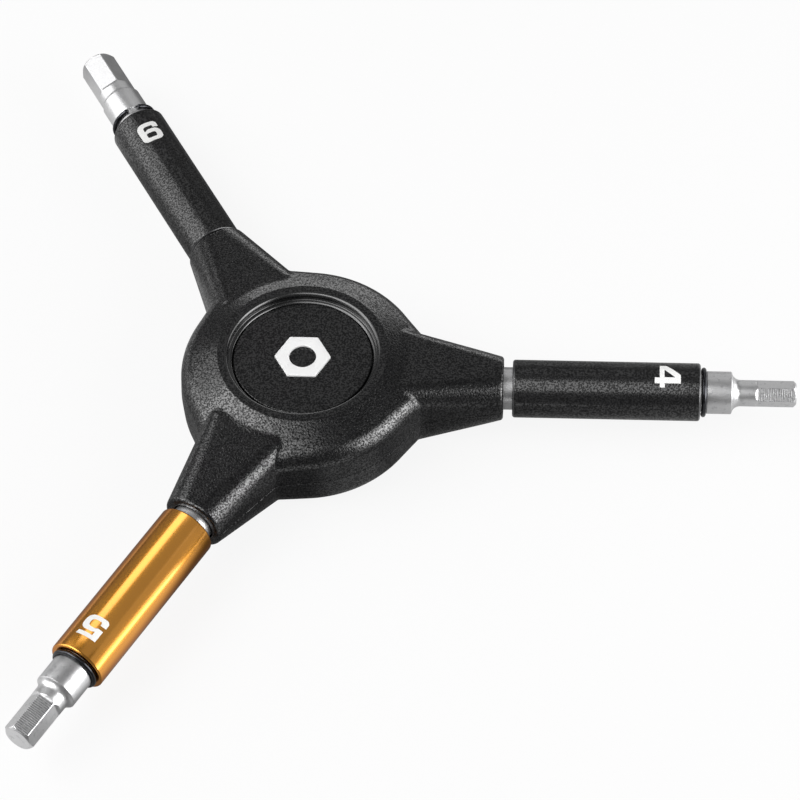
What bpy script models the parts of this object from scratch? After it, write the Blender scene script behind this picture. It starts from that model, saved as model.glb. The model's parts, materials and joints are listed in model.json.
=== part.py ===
"""Three-arm hex wrench with free-spinning sleeves.

A flat round hub of two moulded shells holds three turned steel keys, 120 degrees apart, with
their axes in the shells' parting plane. Each key carries a loose sleeve that turns on a split
bush and is kept on by a wire ring. The origin is the centre of the hub's flat underside, +Z is
up, and the 4 mm key lies along +X.
"""

import math

import bmesh
import bpy
from mathutils import Matrix, Vector

MM = 0.001

# The three arms, by the size of their hexagon
ARMS = (4, 5, 6)
ARM_TURN = {4: 0, 5: -120, 6: 120}
SCREW_TURNS = (60, 180, 300)

# Gaps and fits
PARTING_GAP = 0.12 * MM
SEAT_GAP = 0.15 * MM
KEY_SEAT_GAP = 0.2 * MM
BUSH_RUNNING_GAP = 0.08 * MM
STOP_GAP = 0.1 * MM
LAND_RUNNING_GAP = 0.2 * MM
CUT_OVERRUN = 2.0 * MM

# Keys
SHANK_RADIUS = 3.675 * MM
ANCHOR_START = 6.0 * MM
ANCHOR_LENGTH = 7.0 * MM
ANCHOR_HALF_HEIGHT = 2.8 * MM
ANCHOR_GROOVE_LENGTH = 2.0 * MM
ANCHOR_GROOVE_DEPTH = 0.9 * MM
SHANK_EDGE = 0.3 * MM
HEX_FLATS = {4: 4.0 * MM, 5: 5.0 * MM, 6: 6.0 * MM}
HEX_LENGTH = {4: 6.52 * MM, 5: 7.42 * MM, 6: 7.62 * MM}
HEX_ROLL = {4: 16, 5: 14, 6: 20}
HEX_CORNER_SHARE = 0.985
HEX_RAMP = 0.55 * MM
NECK_LENGTH = {4: 4.74 * MM, 5: 3.22 * MM, 6: 2.9 * MM}
NECK_FILLET = 1.5 * MM
SHANK_TAIL = {4: 4.68 * MM, 5: 5.3 * MM, 6: 5.42 * MM}
SHOULDER_EDGE = 0.16 * MM
TIP_CHAMFER = 0.48 * MM

# Wire rings
WIRE_RADIUS = 0.425 * MM
RING_SEAT_DEPTH = 0.225 * MM
RING_SIDE_GAP = 0.1 * MM
RING_OPENING = 28
RING_OPENING_TURN = {4: 200, 5: 170, 6: 0}

# Sleeves and bushes
SLEEVE_LENGTH = 32.35 * MM
SLEEVE_WALL = 0.815 * MM
SLEEVE_EDGE = 0.5 * MM
SLEEVE_BORE_EDGE = 0.2 * MM
LAND_LENGTH = 3.0 * MM
SLEEVE_PLAY = 1.7 * MM
SLEEVE_REST_SHARES = {4: 0.967, 5: 1, 6: 0.133}
BUSH_WALL = 0.35 * MM
BUSH_END_GAP = 0.15 * MM
BUSH_SLIT = 16

# Hub shells
HUB_RADIUS = 21.3 * MM
HUB_HALF_HEIGHT = 9.0 * MM
WALL_HEIGHT_SHARE = 0.655
WALL_DRAFT = 0.3 * MM
SHOULDER_FILLET = 1.8 * MM
TOP_CROWN = 0.12 * MM
RECESS_RADIUS = 13.3 * MM
RECESS_DEPTH = 1.5 * MM
RIM_FILLET = 0.9 * MM
FOOT_EDGE = 0.5 * MM
SHELL_WALL = 2.2 * MM
CORE_INNER_GAP = 0.9 * MM
CORE_SIDE_WALL = 1.6 * MM

# Arm roots of the shells
ROOT_LENGTH = 13.2 * MM
COLLAR_WALL = 1.67 * MM
ROOT_FLARE = 2.95 * MM
ROOT_RISE = 2.3 * MM
ROOT_EDGE = 1.2 * MM
CREASE_SHARE = 0.49
ROOT_START_SHARE = 0.12
COLLAR_FACET_SHARE = 0.945
COLLAR_EDGE = 0.55 * MM
COLLAR_MOUTH_EDGE = 0.2 * MM

# Badge in the recess
BADGE_THICKNESS = 1.0 * MM
BADGE_EDGE = 0.25 * MM
BADGE_LEDGE = 1.1 * MM
BADGE_STEP = 0.1 * MM
PAD_THICKNESS = 0.25 * MM
PAD_INSET = 0.6 * MM
FACE_GAP = 0.05 * MM
EMBLEM_SHARE = 0.69
EMBLEM_HOLE_SHARE = 0.55
EMBLEM_THICKNESS = 0.45 * MM

# Shell screws, hidden under the badge
SCREW_WALL = 0.85 * MM
SCREW_RADIUS = 1.5 * MM
SCREW_LENGTH = 10.2 * MM
SCREW_POINT = 1.0 * MM
SCREW_HEAD_RADIUS = 2.75 * MM
SCREW_HEAD_HEIGHT = 1.8 * MM
SCREW_HEAD_EDGE = 0.5 * MM
SCREW_SOCKET_FLATS = 2.0 * MM
SCREW_SOCKET_DEPTH = 1.1 * MM

# Facets of the round forms
HUB_SIDES = 64
BADGE_SIDES = 48
SLEEVE_SIDES = 32
KEY_SIDES = 24
SCREW_SIDES = 16
RING_STEPS = 24
WIRE_SIDES = 8
EDGE_STEPS = 3
FLANK_STEPS = 4
SHARP_ANGLE = 32

# Worked out from the sizes above
MID_PLANE = HUB_HALF_HEIGHT
KEY_BORE_RADIUS = SHANK_RADIUS + KEY_SEAT_GAP
COLLAR_RADIUS = KEY_BORE_RADIUS + COLLAR_WALL
COLLAR_END = HUB_RADIUS + ROOT_LENGTH
RING_PLACE = COLLAR_END + SLEEVE_LENGTH + SLEEVE_PLAY + WIRE_RADIUS
RING_RADIUS = SHANK_RADIUS - RING_SEAT_DEPTH + WIRE_RADIUS
RING_GROOVE_RADIUS = SHANK_RADIUS - RING_SEAT_DEPTH - RING_SIDE_GAP
RING_GROOVE_HALF = WIRE_RADIUS + RING_SIDE_GAP
ANCHOR_END = ANCHOR_START + ANCHOR_LENGTH
ANCHOR_GROOVE_END = ANCHOR_END + ANCHOR_GROOVE_LENGTH
ANCHOR_GROOVE_RADIUS = SHANK_RADIUS - ANCHOR_GROOVE_DEPTH
BUSH_BORE_RADIUS = SHANK_RADIUS + BUSH_RUNNING_GAP
BUSH_RADIUS = BUSH_BORE_RADIUS + BUSH_WALL
RELIEF_RADIUS = BUSH_RADIUS + BUSH_RUNNING_GAP
SLEEVE_RADIUS = RELIEF_RADIUS + SLEEVE_WALL
LAND_RADIUS = SHANK_RADIUS + LAND_RUNNING_GAP
BUSH_LENGTH = SLEEVE_LENGTH - 2 * (LAND_LENGTH + BUSH_END_GAP)
WALL_TOP = HUB_HALF_HEIGHT * WALL_HEIGHT_SHARE
WALL_TOP_RADIUS = HUB_RADIUS - WALL_DRAFT
RIM_RADIUS = RECESS_RADIUS + RIM_FILLET
CREASE_RADIUS = RIM_RADIUS + (HUB_RADIUS - RIM_RADIUS) * CREASE_SHARE
ROOT_START = RIM_RADIUS + (HUB_RADIUS - RIM_RADIUS) * ROOT_START_SHARE
ROOT_RADIUS = COLLAR_RADIUS + ROOT_FLARE
RECESS_FLOOR = HUB_HALF_HEIGHT - RECESS_DEPTH
BADGE_RADIUS = RECESS_RADIUS - BADGE_LEDGE
BADGE_TOP = RECESS_FLOOR - BADGE_STEP
EMBLEM_FLATS = BADGE_RADIUS * EMBLEM_SHARE
EMBLEM_HOLE_RADIUS = EMBLEM_FLATS / 2 * EMBLEM_HOLE_SHARE
PAD_TOP = BADGE_TOP - BADGE_THICKNESS - FACE_GAP
BADGE_SEAT = PAD_TOP - PAD_THICKNESS - FACE_GAP
SCREW_HEAD_SEAT = BADGE_SEAT - SEAT_GAP - SCREW_HEAD_HEIGHT
SCREW_TIP = SCREW_HEAD_SEAT - SCREW_LENGTH
SCREW_CIRCLE = BADGE_RADIUS - SCREW_WALL - SCREW_HEAD_RADIUS


def sleeve_start(arm):
    """Place of the sleeve's inner end at rest, between its stops at the collar and at the ring."""
    travel = SLEEVE_PLAY - 2 * STOP_GAP
    return COLLAR_END + STOP_GAP + travel * SLEEVE_REST_SHARES[arm]


def hexagon_radius(across_flats):
    """Radius over the corners of a hexagon of this size across its flats."""
    return across_flats / math.sqrt(3)


def rounded_outline(corners, closed):
    """Points of an outline whose corners (x, y, radius) are rounded by arcs of EDGE_STEPS."""
    points = []
    count = len(corners)
    for index, (x, y, radius) in enumerate(corners):
        corner = Vector((x, y))
        at_end = index in (0, count - 1)
        if radius == 0 or (at_end and not closed):
            points.append(corner)
            continue
        before = Vector(corners[index - 1][:2]) - corner
        after = Vector(corners[(index + 1) % count][:2]) - corner
        half = before.angle(after) / 2
        setback = min(radius / math.tan(half), before.length / 2, after.length / 2)
        reach = setback / math.cos(half)
        centre = corner + (before.normalized() + after.normalized()).normalized() * reach
        start = corner + before.normalized() * setback - centre
        sweep = start.angle_signed(corner + after.normalized() * setback - centre)
        for step in range(EDGE_STEPS + 1):
            turn = Matrix.Rotation(-sweep * step / EDGE_STEPS, 2)
            points.append(centre + turn @ start)
    return points


def finish(name, colour, roughness, metallic):
    """One piece's material."""
    material = bpy.data.materials.new(name)
    material.use_nodes = True
    shader = material.node_tree.nodes["Principled BSDF"]
    shader.inputs["Base Color"].default_value = (*colour, 1)
    shader.inputs["Roughness"].default_value = roughness
    shader.inputs["Metallic"].default_value = metallic
    return material


def black_polymer(name):
    return finish(name, (0.035, 0.036, 0.038), 0.55, 0)


def satin_chrome(name):
    return finish(name, (0.62, 0.62, 0.63), 0.28, 1)


def black_anodised(name):
    return finish(name, (0.05, 0.051, 0.054), 0.42, 0.6)


def gold_anodised(name):
    return finish(name, (0.78, 0.42, 0.07), 0.3, 1)


def black_wire(name):
    return finish(name, (0.02, 0.02, 0.021), 0.25, 0.8)


def white_acetal(name):
    return finish(name, (0.8, 0.79, 0.75), 0.45, 0)


def white_enamel(name):
    return finish(name, (0.8, 0.8, 0.8), 0.35, 0)


def foam_tape(name):
    return finish(name, (0.08, 0.08, 0.08), 0.9, 0)


def zinc_plate(name):
    return finish(name, (0.6, 0.61, 0.63), 0.35, 1)


def piece_from(shape, name):
    """Turns a bmesh into an object with outward faces and marked edges."""
    bmesh.ops.remove_doubles(shape, verts=shape.verts, dist=PARTING_GAP / 1000)
    bmesh.ops.recalc_face_normals(shape, faces=shape.faces)
    mesh = bpy.data.meshes.new(name)
    shape.to_mesh(mesh)
    shape.free()
    piece = bpy.data.objects.new(name, mesh)
    bpy.context.scene.collection.objects.link(piece)
    mark_edges(mesh)
    return piece


def mark_edges(mesh):
    mesh.shade_smooth()
    mesh.set_sharp_from_angle(angle=math.radians(SHARP_ANGLE))


def turned_shape(shape, outline, axis, sides, closed):
    """Spins an outline of (along, radius) pairs a full turn about the local X or Z axis."""
    along = Vector((1, 0, 0)) if axis == "X" else Vector((0, 0, 1))
    outward = Vector((0, 1, 0)) if axis == "X" else Vector((1, 0, 0))
    points = [shape.verts.new(along * place + outward * radius) for place, radius in outline]
    edges = [shape.edges.new(pair) for pair in zip(points, points[1:])]
    if closed:
        edges.append(shape.edges.new((points[-1], points[0])))
    bmesh.ops.spin(
        shape,
        geom=points + edges,
        cent=Vector(),
        axis=along,
        angle=2 * math.pi,
        steps=sides,
        use_merge=True,
    )


def turned(name, outline, axis, sides, closed=False):
    shape = bmesh.new()
    turned_shape(shape, outline, axis, sides, closed)
    return piece_from(shape, name)


def lofted_shape(shape, sections):
    """Skins a row of closed sections with equal point counts, and caps both ends."""
    rings = [[shape.verts.new(point) for point in section] for section in sections]
    for ring, following in zip(rings, rings[1:]):
        for index, corner in enumerate(ring):
            shape.faces.new((ring[index - 1], corner, following[index], following[index - 1]))
    shape.faces.new(rings[0])
    shape.faces.new(rings[-1])


def lofted(name, sections):
    shape = bmesh.new()
    lofted_shape(shape, sections)
    return piece_from(shape, name)


def turn_about(axis, degrees):
    return Matrix.Rotation(math.radians(degrees), 3, axis)


def hexagon(across_flats, place, roll):
    """Six corners of a hexagon square to X, with one flat turned by roll from +Z towards +Y."""
    radius = hexagon_radius(across_flats)
    corners = []
    for turn in range(30, 390, 60):
        angle = math.radians(turn + roll)
        corners.append(Vector((place, radius * math.sin(angle), radius * math.cos(angle))))
    return corners


def carve(piece, tools):
    """Applies each (operation, tool) to the piece in turn and clears the tools away."""
    for operation, tool in tools:
        step = piece.modifiers.new(tool.name, "BOOLEAN")
        step.operation = operation
        step.object = tool
    graph = bpy.context.evaluated_depsgraph_get()
    carved = bpy.data.meshes.new_from_object(piece.evaluated_get(graph))
    piece.modifiers.clear()
    piece.data = carved
    for _, tool in tools:
        bpy.data.objects.remove(tool)
    mark_edges(carved)


def hub_height(radius):
    """Height over the parting plane of the crowned slope between the rim and the wall."""
    share = (radius - RIM_RADIUS) / (WALL_TOP_RADIUS - RIM_RADIUS)
    straight = HUB_HALF_HEIGHT + (WALL_TOP - HUB_HALF_HEIGHT) * share
    return straight + 4 * TOP_CROWN * share * (1 - share)


def slope_corners():
    """Corners of the slope and the drafted wall, from the rim down to the parting line."""
    middle = (RIM_RADIUS + WALL_TOP_RADIUS) / 2
    return [
        (hub_height(middle), middle, 0),
        (WALL_TOP, WALL_TOP_RADIUS, SHOULDER_FILLET),
        (PARTING_GAP / 2, HUB_RADIUS, 0),
        (PARTING_GAP / 2, 0, 0),
    ]


def shell_body(name, corners, side):
    """The turned part of one shell: side is 1 for the upper shell and -1 for the lower one."""
    outline = rounded_outline(corners + slope_corners(), False)
    return turned(name, [(side * height, radius) for height, radius in outline], "Z", HUB_SIDES)


def recess_corners():
    """The upper shell's middle: badge seat, ledge, recess wall and rounded rim."""
    badge_hole = BADGE_RADIUS + SEAT_GAP
    return [
        (BADGE_SEAT, 0, 0),
        (BADGE_SEAT, badge_hole, 0),
        (RECESS_FLOOR, badge_hole, 0),
        (RECESS_FLOOR, RECESS_RADIUS, 0),
        (HUB_HALF_HEIGHT, RECESS_RADIUS, RIM_FILLET),
        (HUB_HALF_HEIGHT, RIM_RADIUS + RIM_FILLET, 0),
    ]


def foot_corners():
    """The lower shell's middle: the flat foot that the wrench rests on."""
    return [(HUB_HALF_HEIGHT, 0, 0), (HUB_HALF_HEIGHT, RIM_RADIUS, FOOT_EDGE)]


def root_section(place, blend, inset):
    """Section of an arm root: an arch on upright flanks, cut by a level facet with rounded edges.

    Blend 0 is the size at the crease with the hub's slope, and 1 the size at the collar.
    """
    hub_facet = hub_height(CREASE_RADIUS)
    collar_facet = COLLAR_RADIUS * COLLAR_FACET_SHARE
    radius = ROOT_RADIUS + (COLLAR_RADIUS - ROOT_RADIUS) * blend - inset
    facet = hub_facet + (collar_facet - hub_facet) * blend - inset
    rise = ROOT_RISE * (1 - blend)
    edge_high = facet - ROOT_EDGE
    edge_wide = math.sqrt((radius - ROOT_EDGE) ** 2 - (edge_high - rise) ** 2)
    edge_start = math.atan2(edge_high - rise, edge_wide)
    half = [(radius, PARTING_GAP / 2)]
    for step in range(1, FLANK_STEPS):
        angle = edge_start * step / FLANK_STEPS
        half.append((radius * math.cos(angle), rise + radius * math.sin(angle)))
    for step in range(EDGE_STEPS + 1):
        angle = edge_start + (math.radians(90) - edge_start) * step / EDGE_STEPS
        wide = edge_wide + ROOT_EDGE * math.cos(angle)
        half.append((wide, edge_high + ROOT_EDGE * math.sin(angle)))
    return [(place, wide, high) for wide, high in half] + [
        (place, -wide, high) for wide, high in reversed(half)
    ]


def arm_roots(side):
    """The three arm roots of one shell as one tool, each from under the slope to its collar."""
    stations = [(ROOT_START, 0, 0)]
    rounding = COLLAR_END - COLLAR_EDGE
    for step in range(5):
        share = step / 4
        stations.append((CREASE_RADIUS + (rounding - CREASE_RADIUS) * share, share, 0))
    for step in range(1, EDGE_STEPS + 1):
        angle = math.radians(90) * step / EDGE_STEPS
        place = rounding + COLLAR_EDGE * math.sin(angle)
        stations.append((place, 1, COLLAR_EDGE * (1 - math.cos(angle))))
    shape = bmesh.new()
    for arm in ARMS:
        turn = turn_about("Z", ARM_TURN[arm])
        sections = []
        for station in stations:
            section = [turn @ Vector((x, y, side * z)) for x, y, z in root_section(*station)]
            sections.append(section)
        lofted_shape(shape, sections)
    return piece_from(shape, "arm_roots")


def key_seats():
    """The three key channels as tools: flatted anchor seats, groove ribs left over, round bores."""
    reach = COLLAR_END + CUT_OVERRUN
    mouth = COLLAR_END - COLLAR_MOUTH_EDGE
    bore = [
        (ANCHOR_GROOVE_END - KEY_SEAT_GAP, 0),
        (ANCHOR_GROOVE_END - KEY_SEAT_GAP, KEY_BORE_RADIUS),
        (mouth, KEY_BORE_RADIUS),
        (reach, KEY_BORE_RADIUS + COLLAR_MOUTH_EDGE + CUT_OVERRUN),
        (reach, 0),
    ]
    throat = [
        (ANCHOR_END - CUT_OVERRUN, 0),
        (ANCHOR_END - CUT_OVERRUN, ANCHOR_GROOVE_RADIUS + KEY_SEAT_GAP),
        (ANCHOR_GROOVE_END + CUT_OVERRUN, ANCHOR_GROOVE_RADIUS + KEY_SEAT_GAP),
        (ANCHOR_GROOVE_END + CUT_OVERRUN, 0),
    ]
    half_height = ANCHOR_HALF_HEIGHT + KEY_SEAT_GAP
    flats = [(-1, -1), (1, -1), (1, 1), (-1, 1)]
    ends = (ANCHOR_START - KEY_SEAT_GAP, ANCHOR_END + KEY_SEAT_GAP)
    shapes = {"bores": bmesh.new(), "throats": bmesh.new(), "anchor_seats": bmesh.new()}
    for arm in ARMS:
        turn = turn_about("Z", ARM_TURN[arm])
        for name, outline in (("bores", bore), ("throats", throat)):
            cutter = bmesh.new()
            turned_shape(cutter, outline, "X", KEY_SIDES, False)
            bmesh.ops.rotate(cutter, verts=cutter.verts, cent=Vector(), matrix=turn)
            mesh = bpy.data.meshes.new(name)
            cutter.to_mesh(mesh)
            cutter.free()
            shapes[name].from_mesh(mesh)
        sections = []
        for place in ends:
            sections.append(
                [turn @ Vector((place, KEY_BORE_RADIUS * y, half_height * z)) for y, z in flats]
            )
        lofted_shape(shapes["anchor_seats"], sections)
    return [piece_from(shape, name) for name, shape in shapes.items()]


def core_pockets(side):
    """Three kidney pockets, one between each two arms, that leave the shell an even wall."""
    inner = RECESS_RADIUS + CORE_INNER_GAP - SHELL_WALL / 2
    outer = WALL_TOP_RADIUS - SHELL_WALL
    ceiling = hub_height(outer) - SHELL_WALL
    offset = KEY_BORE_RADIUS + CORE_SIDE_WALL
    steps = 2 * EDGE_STEPS
    shape = bmesh.new()
    for turn in SCREW_TURNS:
        outline = []
        for radius, direction in ((inner, 1), (outer, -1)):
            half_angle = math.radians(60) - math.asin(offset / radius)
            for step in range(steps + 1):
                angle = math.radians(turn) + direction * half_angle * (2 * step / steps - 1)
                outline.append((radius * math.cos(angle), radius * math.sin(angle)))
        sections = []
        for height in (-CUT_OVERRUN, ceiling):
            sections.append([Vector((x, y, side * height)) for x, y in outline])
        lofted_shape(shape, sections)
    return piece_from(shape, "core_pockets")


def drilled(name, outline):
    """One cutter of three turned holes, on the screws' circle."""
    shape = bmesh.new()
    for turn in SCREW_TURNS:
        cutter = bmesh.new()
        turned_shape(cutter, outline, "Z", SCREW_SIDES, False)
        centre = turn_about("Z", turn) @ Vector((SCREW_CIRCLE, 0, 0))
        bmesh.ops.translate(cutter, verts=cutter.verts, vec=centre)
        mesh = bpy.data.meshes.new(name)
        cutter.to_mesh(mesh)
        cutter.free()
        shape.from_mesh(mesh)
    return piece_from(shape, name)


def screw_holes():
    """Clearance holes with counterbores, deep enough to be the lower shell's blind holes too."""
    hole = SCREW_RADIUS + SEAT_GAP
    counterbore = SCREW_HEAD_RADIUS + SEAT_GAP
    head_seat = SCREW_HEAD_SEAT - SEAT_GAP
    return drilled(
        "screw_holes",
        [
            (SCREW_TIP - SEAT_GAP, 0),
            (SCREW_TIP - SEAT_GAP, hole),
            (head_seat, hole),
            (head_seat, counterbore),
            (BADGE_SEAT + SEAT_GAP + CUT_OVERRUN, counterbore),
            (BADGE_SEAT + SEAT_GAP + CUT_OVERRUN, 0),
        ],
    )


def make_shell(name, corners, side):
    shell = shell_body(name, corners, side)
    tools = [("UNION", arm_roots(side))]
    tools += [("DIFFERENCE", tool) for tool in key_seats()]
    tools.append(("DIFFERENCE", core_pockets(side)))
    tools.append(("DIFFERENCE", screw_holes()))
    carve(shell, tools)
    shell.location.z = MID_PLANE
    shell.data.materials.clear()
    shell.data.materials.append(black_polymer(name))
    return shell


def make_badge():
    """The disc that covers the screws, the sticky pad under it and the nut outline on it."""
    radius = BADGE_RADIUS - PAD_INSET
    pad_outline = [(0, 0), (0, radius), (PAD_THICKNESS, radius), (PAD_THICKNESS, 0)]
    pad = turned("badge_pad", pad_outline, "Z", KEY_SIDES)
    pad.location.z = MID_PLANE + PAD_TOP - PAD_THICKNESS
    pad.data.materials.append(foam_tape("badge_pad"))

    disc_corners = [
        (0, 0, 0),
        (0, BADGE_RADIUS, 0),
        (BADGE_THICKNESS - BADGE_EDGE, BADGE_RADIUS, 0),
        (BADGE_THICKNESS, BADGE_RADIUS - BADGE_EDGE, 0),
        (BADGE_THICKNESS, 0, 0),
    ]
    disc = turned("badge_disc", rounded_outline(disc_corners, False), "Z", BADGE_SIDES)
    disc.location.z = MID_PLANE + BADGE_TOP - BADGE_THICKNESS
    disc.data.materials.append(black_polymer("badge_disc"))

    emblem = lofted(
        "badge_emblem",
        [[point.zyx for point in hexagon(EMBLEM_FLATS, height, 0)] for height in (0, EMBLEM_THICKNESS)],
    )
    hole = [
        (-CUT_OVERRUN, 0),
        (-CUT_OVERRUN, EMBLEM_HOLE_RADIUS),
        (CUT_OVERRUN, EMBLEM_HOLE_RADIUS),
        (CUT_OVERRUN, 0),
    ]
    carve(emblem, [("DIFFERENCE", turned("emblem_hole", hole, "Z", KEY_SIDES))])
    emblem.location.z = MID_PLANE + BADGE_TOP + FACE_GAP
    emblem.data.materials.clear()
    emblem.data.materials.append(white_enamel("badge_emblem"))


def make_screws():
    """Three pan-head screws with hexagon sockets, heads up under the badge."""
    corners = [
        (SCREW_TIP, 0, 0),
        (SCREW_TIP + SCREW_POINT, SCREW_RADIUS, 0),
        (SCREW_HEAD_SEAT, SCREW_RADIUS, 0),
        (SCREW_HEAD_SEAT, SCREW_HEAD_RADIUS, 0),
        (SCREW_HEAD_SEAT + SCREW_HEAD_HEIGHT, SCREW_HEAD_RADIUS, SCREW_HEAD_EDGE),
        (SCREW_HEAD_SEAT + SCREW_HEAD_HEIGHT, 0, 0),
    ]
    socket_ends = (
        SCREW_HEAD_SEAT + SCREW_HEAD_HEIGHT - SCREW_SOCKET_DEPTH,
        SCREW_HEAD_SEAT + SCREW_HEAD_HEIGHT + CUT_OVERRUN,
    )
    for number, turn in enumerate(SCREW_TURNS, 1):
        name = f"shell_screw_{number}"
        screw = turned(name, rounded_outline(corners, False), "Z", SCREW_SIDES)
        socket = lofted(
            "screw_socket",
            [[point.zyx for point in hexagon(SCREW_SOCKET_FLATS, end, 0)] for end in socket_ends],
        )
        carve(screw, [("DIFFERENCE", socket)])
        screw.location = turn_about("Z", turn) @ Vector((SCREW_CIRCLE, 0, MID_PLANE))
        screw.data.materials.clear()
        screw.data.materials.append(zinc_plate(name))


def key_outline(arm):
    """A key's turned outline of (place along the arm, radius), from its anchor to its tip."""
    neck = hexagon_radius(HEX_FLATS[arm]) * HEX_CORNER_SHARE
    shoulder = RING_PLACE + SHANK_TAIL[arm]
    hex_start = shoulder + NECK_LENGTH[arm]
    tip = hex_start + HEX_LENGTH[arm]
    outline = [
        (ANCHOR_START, 0),
        (ANCHOR_START, SHANK_RADIUS - SHANK_EDGE),
        (ANCHOR_START + SHANK_EDGE, SHANK_RADIUS),
        (ANCHOR_END, SHANK_RADIUS),
        (ANCHOR_END, ANCHOR_GROOVE_RADIUS),
        (ANCHOR_GROOVE_END, ANCHOR_GROOVE_RADIUS),
        (ANCHOR_GROOVE_END, SHANK_RADIUS),
        (RING_PLACE - RING_GROOVE_HALF, SHANK_RADIUS),
        (RING_PLACE - RING_GROOVE_HALF, RING_GROOVE_RADIUS),
        (RING_PLACE + RING_GROOVE_HALF, RING_GROOVE_RADIUS),
        (RING_PLACE + RING_GROOVE_HALF, SHANK_RADIUS),
        (shoulder, SHANK_RADIUS),
    ]
    edge = min(SHOULDER_EDGE, (SHANK_RADIUS - neck) / 2)
    drop = min(SHANK_RADIUS - edge - neck, NECK_FILLET)
    half_turn = math.acos(1 - drop / NECK_FILLET)
    run = NECK_FILLET * math.sin(half_turn)
    for step in range(EDGE_STEPS + 1):
        angle = half_turn * (1 - step / EDGE_STEPS)
        place = shoulder + edge + run - NECK_FILLET * math.sin(angle)
        outline.append((place, neck + NECK_FILLET * (1 - math.cos(angle))))
    outline += [(tip - TIP_CHAMFER, neck), (tip, neck - TIP_CHAMFER), (tip, 0)]
    return outline, hex_start, tip


def make_key(arm):
    """One steel key: anchor flats and groove in the hub, round shank, ring groove, hexagon tip."""
    name = f"hex_key_{arm}"
    outline, hex_start, tip = key_outline(arm)
    key = turned(name, outline, "X", KEY_SIDES)

    wide = 3 * SHANK_RADIUS
    swell = 1 + HEX_RAMP / HEX_FLATS[arm]
    hexagons = [
        (ANCHOR_START - CUT_OVERRUN, wide),
        (hex_start - 2 * HEX_RAMP, wide),
        (hex_start - HEX_RAMP, HEX_FLATS[arm] * swell),
        (hex_start, HEX_FLATS[arm]),
        (tip + CUT_OVERRUN, HEX_FLATS[arm]),
    ]
    flare = [hexagon(size, place, HEX_ROLL[arm]) for place, size in hexagons]
    tools = [("INTERSECT", lofted("hexagon_form", flare))]
    for side in (1, -1):
        slab = []
        for place in (ANCHOR_START - CUT_OVERRUN, ANCHOR_END):
            low = side * ANCHOR_HALF_HEIGHT
            high = side * (SHANK_RADIUS + CUT_OVERRUN)
            spread = SHANK_RADIUS + CUT_OVERRUN
            slab.append(
                [
                    Vector((place, -spread, low)),
                    Vector((place, spread, low)),
                    Vector((place, spread, high)),
                    Vector((place, -spread, high)),
                ]
            )
        tools.append(("DIFFERENCE", lofted(f"anchor_flat_{side}", slab)))
    carve(key, tools)
    key.data.materials.clear()
    key.data.materials.append(satin_chrome(name))
    place_on_arm(key, arm, 0)


def make_ring(arm):
    """One open ring of round wire, in its groove of the key."""
    name = f"retaining_ring_{arm}"
    sections = []
    for step in range(RING_STEPS + 1):
        turn = RING_OPENING / 2 + (360 - RING_OPENING) * step / RING_STEPS
        spin = turn_about("X", -turn - RING_OPENING_TURN[arm])
        section = []
        for side in range(WIRE_SIDES):
            angle = math.radians(360 * side / WIRE_SIDES)
            across = WIRE_RADIUS * math.cos(angle)
            section.append(spin @ Vector((WIRE_RADIUS * math.sin(angle), 0, RING_RADIUS + across)))
        sections.append(section)
    ring = lofted(name, sections)
    ring.data.materials.append(black_wire(name))
    place_on_arm(ring, arm, RING_PLACE)


def make_sleeve(arm):
    """One smooth grip sleeve: a tube whose bore is wider between its two end lands."""
    name = f"sleeve_{arm}"
    corners = [
        (0, SLEEVE_RADIUS, SLEEVE_EDGE),
        (SLEEVE_LENGTH, SLEEVE_RADIUS, SLEEVE_EDGE),
        (SLEEVE_LENGTH, LAND_RADIUS + SLEEVE_BORE_EDGE, 0),
        (SLEEVE_LENGTH - SLEEVE_BORE_EDGE, LAND_RADIUS, 0),
        (SLEEVE_LENGTH - LAND_LENGTH, LAND_RADIUS, 0),
        (SLEEVE_LENGTH - LAND_LENGTH, RELIEF_RADIUS, 0),
        (LAND_LENGTH, RELIEF_RADIUS, 0),
        (LAND_LENGTH, LAND_RADIUS, 0),
        (SLEEVE_BORE_EDGE, LAND_RADIUS, 0),
        (0, LAND_RADIUS + SLEEVE_BORE_EDGE, 0),
    ]
    sleeve = turned(name, rounded_outline(corners, True), "X", SLEEVE_SIDES, closed=True)
    material = gold_anodised(name) if arm == 5 else black_anodised(name)
    sleeve.data.materials.append(material)
    place_on_arm(sleeve, arm, sleeve_start(arm))


def make_bush(arm):
    """One split bush, which floats between the key and its sleeve and carries the sleeve's spin."""
    name = f"sleeve_bush_{arm}"
    sections = []
    for step in range(KEY_SIDES + 1):
        turn = BUSH_SLIT / 2 + (360 - BUSH_SLIT) * step / KEY_SIDES
        spin = turn_about("X", turn + 180)
        section = []
        for place, radius in (
            (0, BUSH_BORE_RADIUS),
            (0, BUSH_RADIUS),
            (BUSH_LENGTH, BUSH_RADIUS),
            (BUSH_LENGTH, BUSH_BORE_RADIUS),
        ):
            section.append(spin @ Vector((place, 0, radius)))
        sections.append(section)
    bush = lofted(name, sections)
    bush.data.materials.append(white_acetal(name))
    place_on_arm(bush, arm, sleeve_start(arm) + LAND_LENGTH + BUSH_END_GAP)


def place_on_arm(piece, arm, reach):
    """Sets a piece modelled along X on its arm, with its origin this far from the hub's centre."""
    turn = math.radians(ARM_TURN[arm])
    piece.rotation_euler.z = turn
    piece.location = (reach * math.cos(turn), reach * math.sin(turn), MID_PLANE)


for stray in list(bpy.data.objects):
    bpy.data.objects.remove(stray)

make_shell("lower_shell", foot_corners(), -1)
make_shell("upper_shell", recess_corners(), 1)
make_badge()
make_screws()
for arm in ARMS:
    make_key(arm)
    make_ring(arm)
    make_bush(arm)
    make_sleeve(arm)
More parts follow.
